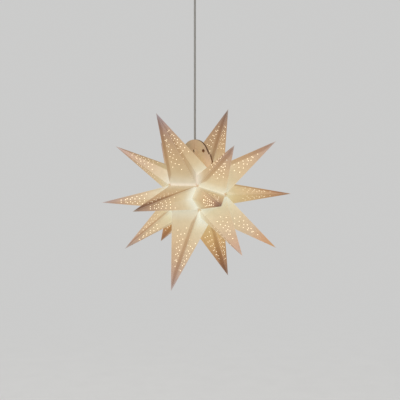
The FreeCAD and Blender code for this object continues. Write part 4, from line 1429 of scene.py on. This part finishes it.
def fastener_shape(place):
    """A head and two legs in one mesh, at a place along the tabs."""
    points, faces = zip(domed_head(), *(bent_strip(leg_path(way)) for way in (1, -1)))
    starts = np.cumsum([0] + [len(part) for part in points[:-1]])
    faces = np.concatenate([part + start for part, start in zip(faces, starts)])
    return hung(np.concatenate(points) + [place, 0, HOLE_HEIGHT]), faces


pins = []
for name, place in (("fastener_right", PIN_SPACING), ("fastener_left", -PIN_SPACING)):
    points, faces = fastener_shape(place)
    pin = new_piece(name + "_bent", points, faces, name, smooth=True)
    pin.data.materials.append(fastener_brass)
    pins.append(pin)
print("fastener triangles:", len(faces))

# %% [markdown]
# A surface made by a formula may come out inside out, depending on which way its section was
# drawn. Light, bevels and other programs all go by a face's outer side. So every closed piece that
# doesn't take its faces from the measured model is handed to Blender once, which finds the side
# that faces away from the middle and turns the faces to it.

# %% Faces that point outwards
def turn_outwards(piece):
    """Recalculates which way a closed piece's faces point."""
    work = bmesh.new()
    work.from_mesh(piece.data)
    bmesh.ops.recalc_face_normals(work, faces=work.faces)
    work.to_mesh(piece.data)
    work.free()
    piece.data.update()


closed_pieces = (bulb, holder_cap, holder_body, shell, cup, grip, block, *pins)
for piece in closed_pieces:
    turn_outwards(piece)
print(len(closed_pieces), "closed pieces face outwards")

# %% [markdown]
# The lantern hangs over a plain pale floor. A small floor would show its edge behind the star, so
# it is a wide round sheet, and further out the camera sees it melt into the pale background. The
# rings of its grid widen with the distance, so that it has few faces where nothing happens.

# %% Floor
FLOOR_HEIGHT = -1.55
FLOOR_START, FLOOR_END, FLOOR_RINGS, FLOOR_STEPS = 0.5, 30, 24, 72
BACKDROP = (0.60, 0.60, 0.595)


def floor_finish():
    """A matt pale floor that takes shadows near the lantern and melts into the background."""
    material, tree, shader = new_finish("pale_floor")
    coordinates = add(tree, "TexCoord").outputs["Object"]
    flat = add(tree, "Mapping", Vector=coordinates, Scale=(1, 1, 0)).outputs[0]
    away = add(tree, "VectorMath", {"operation": "LENGTH"})
    tree.links.new(flat, away.inputs[0])
    grain = speckle(tree, 9, 3)
    pale = tones(tree, grain, (0.3, (0.73, 0.73, 0.725)), (0.7, (0.75, 0.75, 0.745)))
    settle(tree, shader, Base_Color=pale, Roughness=0.9)
    far = add(tree, "Emission", Color=(*BACKDROP, 1), Strength=1.0)
    camera_ray = add(tree, "LightPath").outputs["Is Camera Ray"]
    seen = times(tree, fade(tree, away.outputs["Value"], 1.0, 3.2), camera_ray)
    surface = tree.nodes["Material Output"].inputs["Surface"]
    mix_shaders(tree, seen, shader.outputs[0], far.outputs[0], surface)
    return material


rings = np.append(0, np.geomspace(FLOOR_START, FLOOR_END, FLOOR_RINGS))
swing = np.linspace(0, 2 * math.pi, FLOOR_STEPS, endpoint=False)[:, None]
grid = np.broadcast_arrays(rings * np.cos(swing), rings * np.sin(swing), FLOOR_HEIGHT)
cell = np.arange(grid[0].size).reshape(grid[0].shape)
floor_points = np.stack(grid, axis=-1).reshape(-1, 3)
floor = new_mesh("floor", *welded(floor_points, halved(quads_of(cell))[:, ::-1]))
floor.data.materials.append(floor_finish())
floor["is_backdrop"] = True
print("floor", -FLOOR_HEIGHT, "m below the ceiling, faces:", len(floor.data.polygons))

# %% [markdown]
# The light is plain: an even pale room all round, and one large soft lamp on the viewer's left.
# Together they are just strong enough to show each colour as it is written. What the camera and
# reflections see behind the object is a separate grey, which adds no light, so the background can
# be set without touching the lantern.

# %% Light
ROOM_LIGHT = 0.80
LAMP_DISTANCE = 2.8
LAMP_WIDTH = 2.4
LAMP_POWER = 17

world = bpy.data.worlds.new("pale_room")
world.use_nodes = True
bpy.context.scene.world = world
tree = world.node_tree
room = tree.nodes["Background"]
settle(tree, room, Color=(1.0, 0.995, 0.985, 1), Strength=ROOM_LIGHT)
backdrop = add(tree, "Background", Color=(*BACKDROP, 1), Strength=1.0)
rays = add(tree, "LightPath").outputs
seen_in_glass = reckon(tree, "MAXIMUM", rays["Is Glossy Ray"], rays["Is Transmission Ray"])
shown = reckon(tree, "MAXIMUM", rays["Is Camera Ray"], seen_in_glass)
surface = tree.nodes["World Output"].inputs["Surface"]
mix_shaders(tree, shown, room.outputs[0], backdrop.outputs[0], surface)

lamp_data = bpy.data.lights.new("soft_lamp", "AREA")
lamp_data.shape = "DISK"
lamp_data.size = LAMP_WIDTH
lamp_data.energy = LAMP_POWER
lamp = linked("soft_lamp", lamp_data)
left = np.array([-math.cos(AZIMUTH), -math.sin(AZIMUTH), 0])
towards = unit(1.6 * sight + 0.5 * left + np.array([0, 0, 0.35]))
lamp.location = star_centre + towards * LAMP_DISTANCE
lamp.rotation_euler = (math.acos(towards[2]), 0, math.atan2(towards[1], towards[0]) + math.pi / 2)
bpy.context.scene.view_settings.view_transform = "Standard"
print("lamp, m:", np.round(np.array(lamp.location), 2))

# %% [markdown]
# Nothing above may make the lantern bigger than the measured model. The size of the box round the
# finished pieces is printed, in millimetres.

# %% Sizes
bpy.context.view_layer.update()
low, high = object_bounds()
print("visual model, mm:", np.round((np.array(high) - np.array(low)) * 1000, 1))
